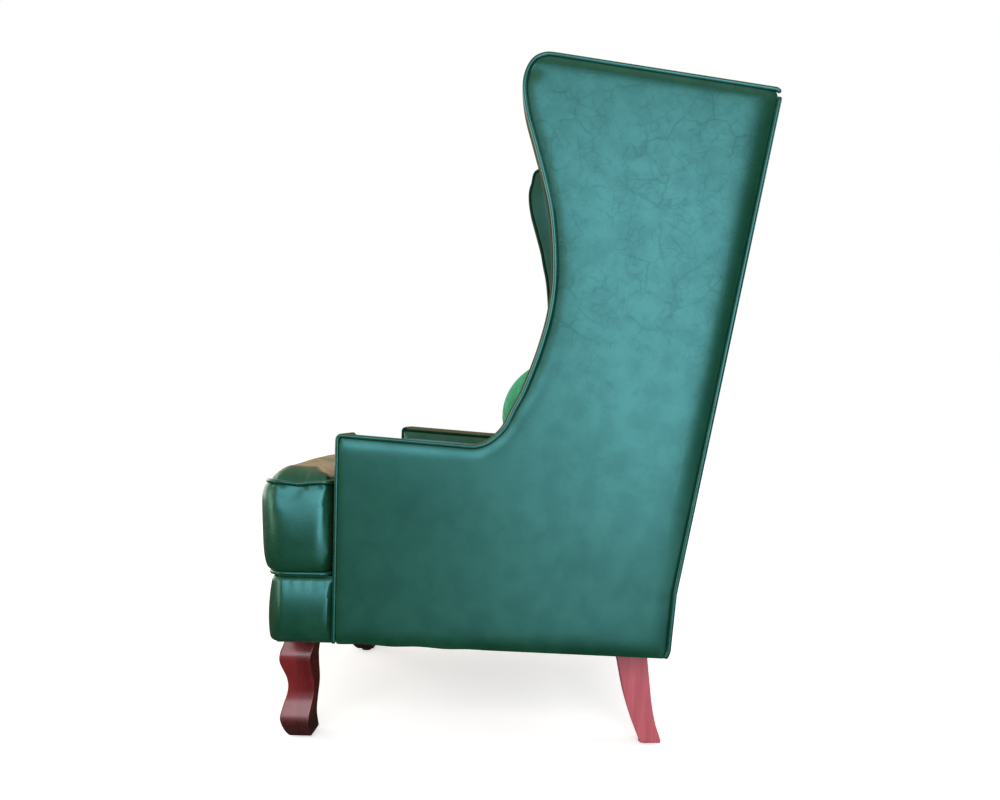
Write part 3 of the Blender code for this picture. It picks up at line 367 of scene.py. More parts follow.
def newGroup(name, given, outputs):
    group = groups[name] = bpy.data.node_groups.new(name, "ShaderNodeTree")
    group.interface.new_socket("Vector", in_out="INPUT", socket_type="NodeSocketVector")
    for label, value in given.items():
        socket = group.interface.new_socket(label, in_out="INPUT", socket_type="NodeSocketFloat")
        socket.default_value = value
    for label in outputs:
        group.interface.new_socket(label, in_out="OUTPUT", socket_type="NodeSocketFloat")
    return Wiring(group), group.nodes.new("NodeGroupInput").outputs, group.nodes.new("NodeGroupOutput")


def creaseWebGroup():
    # creases run along the borders of warped cells of two sizes, and fade in and out with slow noise
    wires, given, end = newGroup("creaseWeb", {"Coverage": 0.5}, ["Mask"])
    warped = given["Vector"]
    for scale, amount in ((14, 0.060), (60, 0.012), (190, 0.003)):
        warped = wires.warped(warped, scale, amount)
    low = wires.math("SUBTRACT", 1, given["Coverage"])
    high = wires.plus(low, 0.24)
    masks = []
    for growth, offset, strength in ((1, 0, 1), (2.4, 3.7, 0.75)):
        moved = wires.vectorMath("ADD", warped, (offset,) * 3)
        cells = wires.node("TexVoronoi", {"Vector": moved, "Scale": 21 * growth}, feature="DISTANCE_TO_EDGE")
        line = wires.span(cells.outputs["Distance"], 0, 0.050 * growth ** 0.6, 1, 0)
        broken = wires.span(wires.noise(moved, 15 * growth, 3, 0.6), low, high, 0, strength)
        masks.append(wires.times(line, broken))
    wires.feed(end, {"Mask": wires.math("MAXIMUM", *masks)})


def leatherGrainGroup():
    # fine pebbles of two sizes, and slow clouds of colour
    wires, given, end = newGroup("leatherGrain", {}, ["Height", "Cloud"])
    cells = wires.node("TexVoronoi", {"Vector": given["Vector"], "Scale": 900, "Smoothness": 0.6},
                       feature="SMOOTH_F1")
    fine = wires.noise(given["Vector"], 420)
    wires.feed(end, {
        "Height": wires.plus(wires.times(cells.outputs["Distance"], 0.7), wires.times(fine, 0.5)),
        "Cloud": wires.span(wires.noise(given["Vector"], 26, 4, 0.6), 0.32, 0.68),
    })


def edgeWearGroup():
    # convex edges are where the mesh's pointiness is high, and noise breaks them up
    wires, given, end = newGroup("edgeWear", {"Pointiness": 0.5}, ["Mask"])
    patches = wires.span(wires.noise(given["Vector"], 60, 4), 0.35, 0.7)
    wires.feed(end, {"Mask": wires.times(wires.span(given["Pointiness"], 0.52, 0.62), patches)})


def woodGrainGroup():
    # long fibres, pores and slow rings, stretched along one axis
    wires, given, end = newGroup("woodGrain", {}, ["Rings", "Fibre", "Pores"])
    bent = wires.warped(wires.stretched(given["Vector"], 0.10), 9, 0.05)
    wires.feed(end, {
        "Rings": wires.span(wires.noise(bent, 38, 3, 0.55), 0.3, 0.7),
        "Fibre": wires.noise(wires.stretched(given["Vector"], 0.035), 520, 3, 0.6),
        "Pores": wires.span(wires.noise(wires.stretched(given["Vector"], 0.05), 900, 2), 0.62, 0.72),
    })


def weaveGroup():
    # over-and-under threads: the product of two waves, one along X and one along Y and Z
    wires, given, end = newGroup("weave", {"Threads": 900}, ["Height", "Shade"])
    x, y, z = wires.split(given["Vector"])
    waves = [wires.node("Math", {0: wires.times(axis, given["Threads"])}, operation="SINE").outputs[0]
             for axis in (x, wires.plus(y, z))]
    wires.feed(end, {"Height": wires.times(*waves), "Shade": wires.noise(given["Vector"], 260, 2)})


for makeGroup in (creaseWebGroup, leatherGrainGroup, edgeWearGroup, woodGrainGroup, weaveGroup):
    makeGroup()


def newMaterial(name, finish):
    material = bpy.data.materials.new(name)
    material.use_nodes = True
    wires = Wiring(material.node_tree)
    shader = wires.feed(material.node_tree.nodes["Principled BSDF"], finish)
    return material, shader, wires, wires.node("TexCoord").outputs["Object"]


def placed(wires, groupName, place, **values):
    return wires.node("Group", {"Vector": place, **values}, node_tree=groups[groupName]).outputs


def wornEdges(wires, place):
    pointiness = wires.node("NewGeometry").outputs["Pointiness"]
    return placed(wires, "edgeWear", place, Pointiness=pointiness)["Mask"]


def tone(colour, factor=1, extra=0):
    # the colour made darker or lighter, with its alpha
    return tuple(min(1, factor * part + extra) for part in colour) + (1,)


def leather(name, deep, light, creases=0, coverage=0.5, roughness=0.30, shine=1, sheen=0):
    # clouded colour, darker (painted shade in the folds) and duller in the creases, lighter on worn edges;
    # creases thin out downwards
    material, shader, wires, place = newMaterial(name, {
        "IOR": 1.5, "Specular Tint": (0.27, 0.86, 1, 1), "Sheen Weight": sheen, "Sheen Roughness": 0.32,
        "Sheen Tint": (1, 0.86, 0.62, 1),
    })
    grain = placed(wires, "leatherGrain", place)
    spread = wires.span(wires.split(place)["Z"], 0.40, 0.78, coverage - 0.24, coverage)
    web = placed(wires, "creaseWeb", place, Coverage=spread)["Mask"]
    crease = wires.times(web, creases)
    colour = wires.mix(grain["Cloud"], tone(deep), tone(light))
    # painted shade: the colour in the creases is darkened to stand in for the shade in their folds
    colour = wires.mix(crease, colour, tone(deep, 0.3))
    rough = wires.span(grain["Cloud"], 0, 1, roughness + 0.015, roughness - 0.015)
    gloss = wires.plus(wires.times(grain["Cloud"], 0.07 * shine), 0.87 * shine)
    pebbles = wires.bump(grain["Height"], 0.0004, 0.15)
    wires.feed(shader, {
        "Base Color": wires.mix(wires.times(wornEdges(wires, place), 0.25), colour, tone(light, 2, 0.01)),
        "Roughness": wires.plus(rough, wires.times(crease, 0.18)),
        "Specular IOR Level": wires.math("SUBTRACT", gloss, wires.times(crease, 1.1)),
        "Normal": wires.bump(web, 0.0006, 0.6 * creases, invert=True, Normal=pebbles),
    })
    return material


def velvet(name, deep, light):
    # brushed patches of colour under a fine pile
    material, shader, wires, place = newMaterial(name, {
        "IOR": 1.4, "Specular IOR Level": 0.25, "Sheen Weight": 0.45, "Sheen Roughness": 0.45,
        "Sheen Tint": (0.30, 1, 0.62, 1),
    })
    brushed = wires.span(wires.noise(place, 55, 4, 0.6), 0.35, 0.68)
    pile = wires.noise(place, 1400, 2)
    wires.feed(shader, {
        "Base Color": wires.mix(brushed, tone(deep), tone(light)),
        "Roughness": wires.span(pile, 0.2, 0.8, 0.78, 0.95), "Normal": wires.bump(pile, 0.0006, 0.35),
    })
    return material


def wood(name, dark, light, pores, roughness, coat, bump=0.15, footDarkening=0, tint=(0.80, 0.84, 1)):
    # rings between two colours, with dark streaks and pores, and lighter where edges are worn
    material, shader, wires, place = newMaterial(name, {
        "IOR": 1.5, "Specular Tint": (*tint, 1), "Coat Weight": coat, "Coat Roughness": 0.22,
    })
    grain = placed(wires, "woodGrain", place)
    fibre = grain["Fibre"]
    colour = wires.mix(grain["Rings"], tone(dark), tone(light))
    colour = wires.mix(wires.span(fibre, 0.35, 0.7, 0, 0.35), colour, tone(dark))
    colour = wires.mix(wires.times(grain["Pores"], pores), colour, tone(dark, 0.3))
    colour = wires.mix(wires.times(wornEdges(wires, place), 0.3), colour, tone(light, 1.5))
    if footDarkening:      # the wood is darker towards the foot
        height = wires.plus(wires.split(place)["Z"], wires.times(fibre, 0.012))
        colour = wires.mix(wires.span(height, 0.052, 0.026, 0, footDarkening), colour, (0.016, 0.007, 0.007, 1))
    wires.feed(shader, {
        "Base Color": colour, "Roughness": wires.span(fibre, 0.2, 0.8, roughness - 0.05, roughness + 0.06),
        "Normal": wires.bump(fibre, 0.0003, bump),
    })
    return material


def cloth(name, dark, light, threads):
    # woven threads, lighter where they stand up: painted highlight on the raised threads and painted shade
    # between them
    material, shader, wires, place = newMaterial(name, {"Specular IOR Level": 0.25})
    weave = placed(wires, "weave", place, Threads=threads)
    # painted light: the threads' height brightens the colour, on top of random tone from noise
    shade = wires.span(wires.plus(weave["Shade"], wires.times(weave["Height"], 0.25)), 0.3, 0.8)
    wires.feed(shader, {
        "Base Color": wires.mix(shade, tone(dark), tone(light)),
        "Roughness": wires.span(weave["Shade"], 0.2, 0.8, 0.82, 0.95),
        "Normal": wires.bump(weave["Height"], 0.0005, 0.5),
    })
    return material


def hardPart(name, dark, light, roughness, metallic):
    # scuffs lighten and dull it
    material, shader, wires, place = newMaterial(name, {"Metallic": metallic})
    scuff = wires.noise(place, 240, 4, 0.6)
    wires.feed(shader, {
        "Base Color": wires.mix(wires.span(scuff, 0.35, 0.7), tone(dark), tone(light)),
        "Roughness": wires.span(scuff, 0.3, 0.7, roughness - 0.06, roughness + 0.12),
        "Normal": wires.bump(scuff, 0.0002, 0.3),
    })
    return material


leatherTone = {"deep": (0.0040, 0.036, 0.0165), "light": (0.0075, 0.050, 0.0245)}
panelLeather = leather("panelLeather", **leatherTone, creases=0.15, coverage=0.64)
coverLeather = leather("coverLeather", **leatherTone, creases=0.08, coverage=0.48, roughness=0.32)
cushionLeather = leather("cushionLeather", **leatherTone, creases=0.08, roughness=0.28, sheen=0.05)
# the border strips' colour is a darker copy of the same green leather: painted shade
stripLeather = leather("stripLeather", (0.0045, 0.030, 0.0150), (0.0080, 0.042, 0.0210), roughness=0.68,
                       shine=0.20)
# the piping's colour is a darker copy of the same green leather: painted shade
weltLeather = leather("weltLeather", (0.0030, 0.032, 0.0165), (0.0060, 0.046, 0.0250), roughness=0.22)
pillowVelvet = velvet("pillowVelvet", (0.021, 0.240, 0.108), (0.044, 0.372, 0.188))
frontLegWood = wood("frontLegWood", (0.085, 0.006, 0.008), (0.175, 0.015, 0.017), 0.35, 0.26, 0.40, footDarkening=0.85,
                    tint=(1, 0.80, 0.90))
rearLegWood = wood("rearLegWood", (0.330, 0.060, 0.078), (0.480, 0.105, 0.130), 0.25, 0.42, 0.15, bump=0.1)
frameWood = wood("frameWood", (0.42, 0.27, 0.14), (0.58, 0.41, 0.25), 0.2, 0.62, 0)
jute = cloth("juteWebbing", (0.24, 0.16, 0.08), (0.48, 0.36, 0.21), 1600)
lining = cloth("liningCloth", (0.008, 0.008, 0.009), (0.022, 0.022, 0.024), 2600)
glidePlastic = hardPart("glidePlastic", (0.010, 0.010, 0.011), (0.022, 0.022, 0.023), 0.42, 0)
boltSteel = hardPart("boltSteel", (0.36, 0.36, 0.37), (0.55, 0.55, 0.57), 0.32, 1)
nodeFinish = {"webbing": jute, "deck": lining, "dust": lining, "glide": glidePlastic, "bolt": boltSteel}
for nodeName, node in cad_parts.items():
    fitting = [finish for word, finish in nodeFinish.items() if word in nodeName]
    for index in range(len(node.data.materials)):
        node.data.materials[index] = (fitting or [frameWood])[-1]
print("materials made")

# The side's outline in (y, z): arm, wing, shoulder and rear edge. The wing's shares are of its reach and rise
wing = {"reach": 0.1245, "rise": 0.6445, "drop": 0.0515, "steps": 8, "headShare": 13}
wingShares = np.array([
    (0, 0), (0.175, 0.011), (0.37, 0.045), (0.51, 0.098), (0.64, 0.148), (0.83, 0.249), (0.96, 0.35), (1, 0.45),
    (0.955, 0.575), (0.85, 0.672), (0.7, 0.775), (0.59, 0.85), (0.545, 0.912), (0.585, 0.956), (0.69, 0.987),
    (0.845, 1), (1.01, 0.9985),
])


def sideEdge():
    # straight arm with a rounded corner, a curve through the wing's shares, a rounded shoulder
    foot, corner = ((chair["armFrontY"], chair[z]) for z in ("undersideZ", "armFrontZ"))
    sweep = (chair["sweepY"], chair["armRearZ"])
    arm = np.concatenate([[foot], roundedCorner(foot, corner, sweep, 0.010)])
    wingCurve = curveThrough(sweep + wingShares * (wing["reach"], wing["rise"]), wing["steps"])
    rearTop = chair["armRearZ"] + wing["rise"] - wing["drop"]
    shoulder = roundedCorner(wingCurve[-1], (rearEdge(rearTop), rearTop), (chair["kneeY"], chair["kneeZ"]), 0.013)
    return arm, wingCurve, shoulder


armEdge, wingEdge, shoulderEdge = sideEdge()
rearHeights = np.concatenate([np.linspace(shoulderEdge[-1][1], chair["kneeZ"], 60)[1:],
                              np.linspace(chair["kneeZ"], chair["rearFootZ"], 12)[1:]])
rearLine = np.column_stack([rearEdge(rearHeights), rearHeights])


def topLine(y, depth=0.0):
    # the wing's straight top edge, this deep under its cover
    start, end = wingEdge[-1], shoulderEdge[0]
    return start[1] + (end[1] - start[1]) * (y - start[0]) / (end[0] - start[0]) - depth


# Outside panels
panelPad = {
    "proud": 0.3766,             # outermost X of the padded field
    "drop": 0.0080,              # how far its edge can sink beside the piping
    "spacing": 0.0045,
    "middle": (0.17, 0.47),
    # each run of the edge: share of the drop, width of the slope, softness of its end
    "armFront": (0.14, 0.001, 0.0030), "armTop": (0.52, 0.003, 0.0060), "wingFront": (1, 0.019, 0.0060),
    "wingTop": (0.55, 0.004, 0.0060), "rear": (1, 0.002, 0.0130), "foot": (1, 0.001, 0.0090),
    "waves": ((0.31, 0.4, 0.3, 0.00040), (0.19, 1.3, 1.1, 0.00026), (0.42, -0.6, 2.0, 0.00045)),
    "reaches": (0.0008, 0.002, 0.0035, 0.0055, 0.008, 0.011, 0.014, 0.017, 0.020, 0.023, 0.026, 0.029, 0.032,
                0.035, 0.039, 0.044),
}


def panelOutline():
    # the seam line inside the piping, closed along the underside
    inset = chair["seamInset"]
    edge = np.concatenate([armEdge, wingEdge, shoulderEdge, rearLine])
    seam = offsetPath(evenly(edge, panelPad["spacing"]), inset)
    seam = seam[(seam[:, 1] > underside(seam[:, 0]) + 0.001) | (seam[:, 0] < 0)]
    seam[0] = (chair["armFrontY"] + inset, chair["undersideZ"])
    footRun = np.linspace(chair["rearFootY"] - inset, chair["armFrontY"] + inset, 120)[:-1]
    wavy = 0.0009 * np.sin(footRun * 70) * smoothStep(-0.02, -0.12, footRun)
    foot = np.column_stack([footRun, underside(footRun) + wavy])
    return evenly(np.concatenate([seam[:-1], foot]), panelPad["spacing"], closed=True)


def softPlus(value):
    return np.log1p(np.exp(value))


def outsidePanel(sideName, side):
    # the seam's runs pull the padded field down, each with a slope that ends softly, and slow waves cross it
    outline = panelOutline()
    marks = [armEdge[1], wingEdge[wing["steps"] * wing["headShare"]], shoulderEdge[-1],
             (chair["rearFootY"], chair["rearFootZ"])]
    cuts = [0] + [int(np.linalg.norm(outline - mark, axis=1).argmin()) for mark in marks]
    parts = [outline[first:last + 1] for first, last in zip(cuts[:-1], cuts[1:])]
    parts.append(np.concatenate([outline[cuts[-1]:], outline[:1]]))
    runs = []
    for part, low, high in zip(parts, ("armFront", "armTop", "wingTop", "rear", "foot"),
                               ("armFront", "wingFront", "wingTop", "rear", "foot")):
        onWing = smoothStep(0.53, 0.66, part[:-1, 1])[:, None]
        runs.append((part, np.array(panelPad[low]) * (1 - onWing) + np.array(panelPad[high]) * onWing))

    def face(flat, depth):
        risen = 1
        for part, shape in runs:
            away, nearest = distanceTo(part, flat)
            share, width, soft = shape[nearest].T
            risen = risen * (1 - share * softPlus((width - away) / soft) / softPlus(width / soft))
        waves = ripple(*flat.T, panelPad["waves"]) * smoothStep(0, 0.09, depth)
        return panelPad["proud"] - panelPad["drop"] * (1 - risen) + waves

    panel = padShell(f"panel_cover_{sideName}", outline, np.array(panelPad["middle"]), sidePlace(side), face,
                     chair["coverX"], panelPad["reaches"])
    dress(panel, panelLeather, [f"outside_panel_{sideName}"])


# Piping
def sideWelt(sideName, side):
    # round cords just inside the outline, one from foot to shoulder and one down the rear edge
    radius = chair["weltRadius"]
    centreX = side * (chair["halfWidth"] - radius)
    path = offsetPath(evenly(np.concatenate([armEdge, wingEdge, shoulderEdge[:5]]), 0.004), radius)
    path[0, 1] += radius
    piping(f"side_piping_{sideName}", atX(path, centreX), radius, weltLeather, [f"side_welt_{sideName}"], 14)
    heights = np.concatenate([np.linspace(chair["shoulderZ"] + 0.0035, chair["kneeZ"], 190),
                              np.linspace(chair["kneeZ"], chair["rearFootZ"] + 0.0045, 28)[1:]])
    depths = rearEdge(heights) - radius
    depths[-3:] -= (0.0004, 0.0014, 0.0030)
    rear = atX(np.column_stack([depths, heights]), centreX)
    piping(f"back_piping_{sideName}", rear, radius, weltLeather, [f"back_welt_{sideName}"], 14)


# Padded strips along the arm's and the wing's edge
strip = {"armFall": 0.0050, "wingBulge": 0.0034, "thickness": 0.014, "outerX": 0.3668, "trimRadius": 0.0024,
         "armInner": 0.2828, "wingInner": 0.3255, "armOuter": 0.3250, "ahead": 0.0022, "topRise": 0.014,
         "rearGap": 0.0079, "armEnd": 0.150, "flat": 0.0004}
stripSection = np.array([(0, -0.1), (0.05, 0.42), (0.15, 0.72), (0.35, 0.92), (0.6, 1), (0.8, 0.88), (0.92, 0.45),
                         (1, -0.45)])
borderEndY = rearEdge(chair["crestZ"]) - strip["rearGap"]
borderFoot = np.linspace(chair["deckZ"], armEdge[1][1], 45)[:-1]
borderEdge = np.concatenate([
    np.column_stack([np.full(len(borderFoot), chair["armFrontY"]), borderFoot]),
    evenly(np.concatenate([armEdge[1:], wingEdge, [(borderEndY, topLine(borderEndY))]]), 0.005),
])
armEdgeEnd = int(np.linalg.norm(borderEdge - (chair["sweepY"], chair["armRearZ"]), axis=1).argmin())


def topRise(path):
    # the padding stands higher along the inner edge of the wing's top, and fades at both ends
    upward = smoothStep(0.35, 0.95, directions(path)[:, 0])
    return strip["topRise"] * upward * smoothStep(1.05, 1.10, path[:, 1]) * smoothStep(0.405, 0.31, path[:, 0])


def bulgeAhead(path):
    # the wing's padding bellies forward below its rounded head
    return strip["ahead"] * smoothStep(0.985, 0.93, path[:, 1]) * smoothStep(0.53, 0.58, path[:, 1])


def upright(path):
    return path[:, 0] < chair["armFrontY"] + 0.012


def armHeights(path, across):
    # level up the arm's front, and falling inwards along its top
    return np.where(upright(path)[:, None], 0, -strip["armFall"] * across)


def stripPiece(name, path, outerX, innerX, heights, side, nodes):
    # across the strip its face stands off the path by the section's height, and its back is flat
    outward = -rightOf(path)
    back = (path - outward * strip["thickness"])[:, None]
    yz = np.concatenate([path[:, None] + outward[:, None] * heights[..., None], back, back], axis=1)
    x = side * np.append(np.linspace(outerX, innerX, heights.shape[1]), (innerX, outerX))
    grid = np.concatenate([np.broadcast_to(x[:, None], (*yz.shape[:2], 1)), yz], axis=-1)
    dress(meshFromGrid(name, grid), stripLeather, nodes)


def boxing(sideName, side):
    # an even strip over arm front and arm top that turns into a plump one along the wing
    across = np.linspace(0, 1, 26)
    path = borderEdge
    full = (strip["outerX"] - strip["wingInner"]) / (strip["outerX"] - strip["armInner"])
    onWing = smoothStep(armEdgeEnd - 12, armEdgeEnd + 16, np.arange(len(path)))[:, None]
    plump = strip["flat"] + (strip["wingBulge"] - strip["flat"]) * smoothStep(0.985, 0.93, path[:, 1])[:, None]
    heights = armHeights(path, across * full) * (1 - onWing) + plump * np.interp(across, *stripSection.T) * onWing
    heights = heights + topRise(path)[:, None] * smoothStep(0, 0.9, across)
    stripPiece(f"boxing_{sideName}", path, strip["outerX"], strip["wingInner"], heights, side,
               [f"arm_border_{sideName}", f"wing_border_{sideName}"])

    # the arm's inner half, which runs on behind the wing's foot
    run = np.arange(chair["sweepY"], strip["armEnd"], 0.006)[1:]
    armPath = np.concatenate([borderEdge[:armEdgeEnd + 1], np.column_stack([run, armTop(run)])])
    stripPiece(f"arm_top_cover_{sideName}", armPath, strip["armOuter"], strip["armInner"],
               armHeights(armPath, np.linspace(full, 1, 18)), side, [f"arm_ledge_pad_{sideName}"])

    # thin piping on the inner edges
    radius = strip["trimRadius"]
    wingPath = borderEdge[armEdgeEnd + 4:-2]
    armTrim = offsetPath(armPath, np.where(upright(armPath), radius, radius * 0.6 + strip["armFall"]))
    wingTrim = offsetPath(wingPath, radius * 0.9 - bulgeAhead(wingPath) - topRise(wingPath))
    for part, trim in (("arm", armTrim), ("wing", wingTrim)):
        path = atX(trim, side * (strip[f"{part}Inner"] - radius))
        piping(f"{part}_trim_{sideName}", path, radius, stripLeather)


# Inside pads of arms, wings and back
insidePad = {
    "edgeDrop": 0.0112, "crown": 0.006, "edge": 0.0052, "round": 0.004, "armRamp": 0.016, "wingRamp": 0.037,
    "spacing": 0.006, "waves": ((0.16, 0.8, 0.2, 0.0005), (0.09, -0.5, 1.0, 0.0003)),
    "reaches": (0.001, 0.0025, 0.0045, 0.007, 0.010, 0.014, 0.019, 0.025),
}


def sidePad(name, corners, pole, edgeX, side, thickness, nodes, ramp):
    def face(flat, depth):
        # a rounded edge that leans back, then a low crown
        lean = np.maximum(0, 1 - depth / ramp) ** 1.15
        return (edgeX + 0.0015 * (1 - quarterRound(depth / insidePad["round"])) + insidePad["edgeDrop"] * lean
                - insidePad["crown"] * smoothStep(0, 0.12, depth) + ripple(*flat.T, insidePad["waves"]))

    outline = evenly(corners, insidePad["spacing"], closed=True)
    pad = padShell(name, outline, np.array(pole), sidePlace(side), face, edgeX + thickness, insidePad["reaches"])
    dress(pad, coverLeather, nodes)


def insideArm(sideName, side):
    start, end = chair["armFrontY"] + insidePad["edge"], chair["insideBackY"] + 0.060
    under, foot = insidePad["edge"] + strip["armFall"], chair["deckZ"] + chair["gap"]
    corners = np.array([(start, foot), (start, armTop(start) - under), (end, armTop(end) - under), (end, foot)])
    sidePad(f"arm_inside_{sideName}", corners, (-0.07, 0.40), chair["armInnerX"] + 0.004, side, 0.0155,
            [f"inside_arm_pad_{sideName}"], insidePad["armRamp"])


def insideWing(sideName, side):
    front = offsetPath(borderEdge, insidePad["edge"] - bulgeAhead(borderEdge) - topRise(borderEdge))[armEdgeEnd:]
    front = front[front[:, 1] > chair["armRearZ"] + 0.0005][:-2]
    post = rearEdge(chair["shoulderZ"]) - chair["postInset"]
    front = front[front[:, 0] < post]
    footZ = chair["armRearZ"] + chair["gap"]
    rearFoot = rearEdge(footZ) - chair["postInset"]
    # its foot follows the arm's top, which falls towards the back and inwards
    feet = [(y, armTop(y) - 0.0020) for y in (rearFoot, front[0][0])]
    corners = np.concatenate([front, [(post, front[-1][1] - 0.0010)], feet])
    sidePad(f"wing_inside_{sideName}", corners, (0.155, 0.80), chair["wingInnerX"] + 0.004, side, 0.0135,
            [f"inside_wing_pad_{sideName}"], insidePad["wingRamp"])

    # the wing's inner side above the back's crest, behind that pad
    y = np.linspace(post + 0.0004, rearEdge(chair["crestZ"]) - 0.0120, 14)
    low, high = np.full(len(y), chair["crestZ"] + 0.0006), topLine(y, insidePad["edge"])
    lean = (post - rearFoot) / (topLine(post) - footZ) * np.linspace(1, 0, len(y))
    section = ((0.3072, low), (0.3072, high - 0.003), (0.3090, high), (0.3248, high), (0.3248, low))
    grid = np.stack([atX(np.column_stack([y - lean * (high - z), z]), side * x) for x, z in section], axis=1)
    dress(meshFromGrid(f"wing_return_{sideName}", grid), coverLeather)


back = {
    "crown": 0.012, "cornerRun": 0.034, "cornerDrop": 0.024, "roll": 0.022, "foot": 0.0005, "crownFoot": 0.25,
    "waves": ((0.23, 0.3, 0.0, 0.0006), (0.14, 1.2, 0.7, 0.0005), (0.31, -0.9, 1.0, 0.0007)),
    "outerWaves": ((0.33, 0.5, 0.2, 0.0003), (0.21, 1.4, 1.2, 0.0002)),
}


def insideBackCover():
    # a loop up the face, over the crest and down behind it, carried from side to side
    crest, foot, roll = chair["crestZ"], chair["deckZ"] + back["foot"], back["roll"]
    ledge = armTop(0.10) + chair["gap"]
    faceZ = np.concatenate([np.linspace(foot, ledge, 26), np.linspace(ledge + 0.0004, crest - roll, 60)])
    turn = np.linspace(0, math.pi / 2, 10)[1:]
    rearY = rearEdge(crest) - chair["backInset"]
    backY = rearY - np.array([0.012, 0, 0, 0.003])
    backZ = crest - np.array([0, 0.003, 0.0135, 0.0138])
    downZ = np.linspace(crest - 0.0139, foot, 30)
    downY = np.maximum(insideBack(downZ) + 0.010, rearEdge(downZ) - chair["postInset"])
    y = np.concatenate([insideBack(faceZ), insideBack(crest - roll) + roll * (1 - np.cos(turn)), backY, downY])
    z = np.concatenate([faceZ, crest - roll + roll * np.sin(turn), backZ, downZ])
    isFace = np.concatenate([np.ones(len(faceZ)), np.cos(turn), np.zeros(len(backY) + len(downY))])
    half = np.where(z > ledge + 0.0002, chair["wingInnerX"], chair["armInnerX"]) - chair["gap"]
    x = np.sin(np.linspace(-math.pi / 2, math.pi / 2, 81))[:, None] * half
    inward = half - np.abs(x)
    rounding = back["cornerDrop"] * (1 - quarterRound(inward / back["cornerRun"]))
    upwards = np.clip((z - back["crownFoot"]) / (crest - back["crownFoot"]), 0, 1)
    swell = back["crown"] * (1 - (x / half) ** 2) * np.sin(upwards * math.pi) ** 0.6
    depth = y + isFace * (rounding - swell + ripple(x, z, back["waves"]) * smoothStep(0, 0.05, inward))
    grid = np.stack(np.broadcast_arrays(x, depth, z), axis=-1)
    dress(meshFromGrid("back_inside", grid), coverLeather, ["inside_back_pad"])


def outsideBackCover():
    half = chair["coverX"] - 0.0006
    foot, crest = underside(chair["rearFootY"]) + 0.0002, chair["crestZ"]
    outline = evenly(np.array([(-half, foot), (-half, crest), (half, crest), (half, foot)]), 0.007, closed=True)

    def face(flat, depth):
        # a low field inside a rolled edge
        waves = ripple(*flat.T, back["outerWaves"]) * smoothStep(0, 0.08, depth)
        return -0.0040 + 0.0046 * quarterRound(depth / 0.022) + waves

    def place(x, z, height):
        return np.stack([x, rearEdge(z) - 0.0015 + height, z], axis=-1)

    piece = padShell("back_outside", outline, np.array((0, 0.64)), place, face, -0.0058, insidePad["reaches"])
    dress(piece, panelLeather, ["outside_back_panel"])


# Front of the seat base
base = {"outerX": 0.3700, "frontY": -0.4040, "rearY": -0.3008, "round": 0.019, "frontBulge": 0.0050,
        "sideBulge": 0.0125, "tuck": 0.0085, "sideTuck": 0.0060, "wall": 0.0135, "lip": 0.085, "sideRun": 0.100,
        "gather": 0.0007, "gatherWave": 0.019}


def frontBase():
    # a strip round the front and both sides that bellies out between two curled lips, gathered at its top
    rear, corner = (base["outerX"], base["rearY"]), (base["outerX"], base["frontY"])
    middle = (0, base["frontY"])
    right = evenly(np.concatenate([[rear], roundedCorner(rear, corner, middle, base["round"]), [middle]]), 0.005)
    path = np.concatenate([right, right[-2::-1] * (-1, 1)])
    outward = -rightOf(path)
    lip = base["lip"]
    curve = np.sin(np.linspace(0, math.pi / 2, 10))[1:-1] * lip
    rise = np.concatenate([[0], curve, np.linspace(lip, 1 - lip, 24), 1 - curve[::-1], [1]])
    z = chair["undersideZ"] + 0.0004 + (chair["deckZ"] - chair["undersideZ"] - 0.0007) * rise
    curl = quarterRound(np.minimum(rise, 1 - rise) / lip)
    facing = np.clip(-outward[:, 1], 0, 1)[:, None] ** 2
    tuck = base["sideTuck"] + (base["tuck"] - base["sideTuck"]) * facing
    run = runAlong(path)
    sideRun = np.minimum(run, run[-1] - run)[:, None] / base["sideRun"]
    onSide = (1 - (1 - np.clip(sideRun * 14, 0, 1)) ** 2) * smoothStep(1.0, 0.8, sideRun)
    bulge = base["frontBulge"] * facing + base["sideBulge"] * onSide * (1 - facing)
    gather = base["gather"] * np.sin(run * 2 * math.pi / base["gatherWave"])[:, None]
    gather = gather * smoothStep(0.72, 0.98, rise) * np.clip((1 - rise) / lip, 0, 1)
    stand = bulge * np.sin(math.pi * rise ** 0.8) ** 0.9 - tuck * (1 - curl) + gather
    face = path[:, None] + outward[:, None] * stand[..., None]
    wallX = np.sign(path[:, 0]) * np.minimum(np.abs(path[:, 0]), chair["coverX"])
    wall = np.column_stack([wallX, np.maximum(path[:, 1], base["frontY"] + base["wall"])])
    yx = np.concatenate([face, np.repeat(wall[:, None], 2, axis=1)], axis=1)
    z = np.append(z, (chair["deckZ"] - 0.0004, chair["undersideZ"] + 0.0005))
    grid = np.concatenate([yx, np.broadcast_to(z[:, None], (*yx.shape[:2], 1))], axis=-1)
    dress(meshFromGrid("front_base", grid), cushionLeather, ["front_border"])


# Seat cushion
seat = {
    "earX": 0.3670, "bodyX": 0.2542, "frontY": -0.4040, "earY": -0.3088, "rearY": 0.0657, "middleY": -0.3495,
    "topZ": 0.4509, "lowZ": 0.3004, "bottomZ": 0.2969, "dip": 0.007, "dipRun": 0.060, "crown": 0.020,
    "crownRun": 0.150, "frontSink": 0.006, "puff": 0.0200, "rearPuff": 0.0040, "puffRun": 0.030, "lean": 0.0092,
    "frontBulge": 0.0160, "earBulge": 0.0150, "sideBulge": 0.0030, "cornerRadius": 0.012, "frontRadius": 0.027,
    "notchRadius": 0.006, "pipeRadius": 0.0035, "spacing": 0.006, "voxel": 0.0075,
    "waves": ((0.11, 0.3, 0.4, 0.0010), (0.07, 1.9, 1.3, 0.0008), (0.17, -0.8, 0.0, 0.0014)),
}


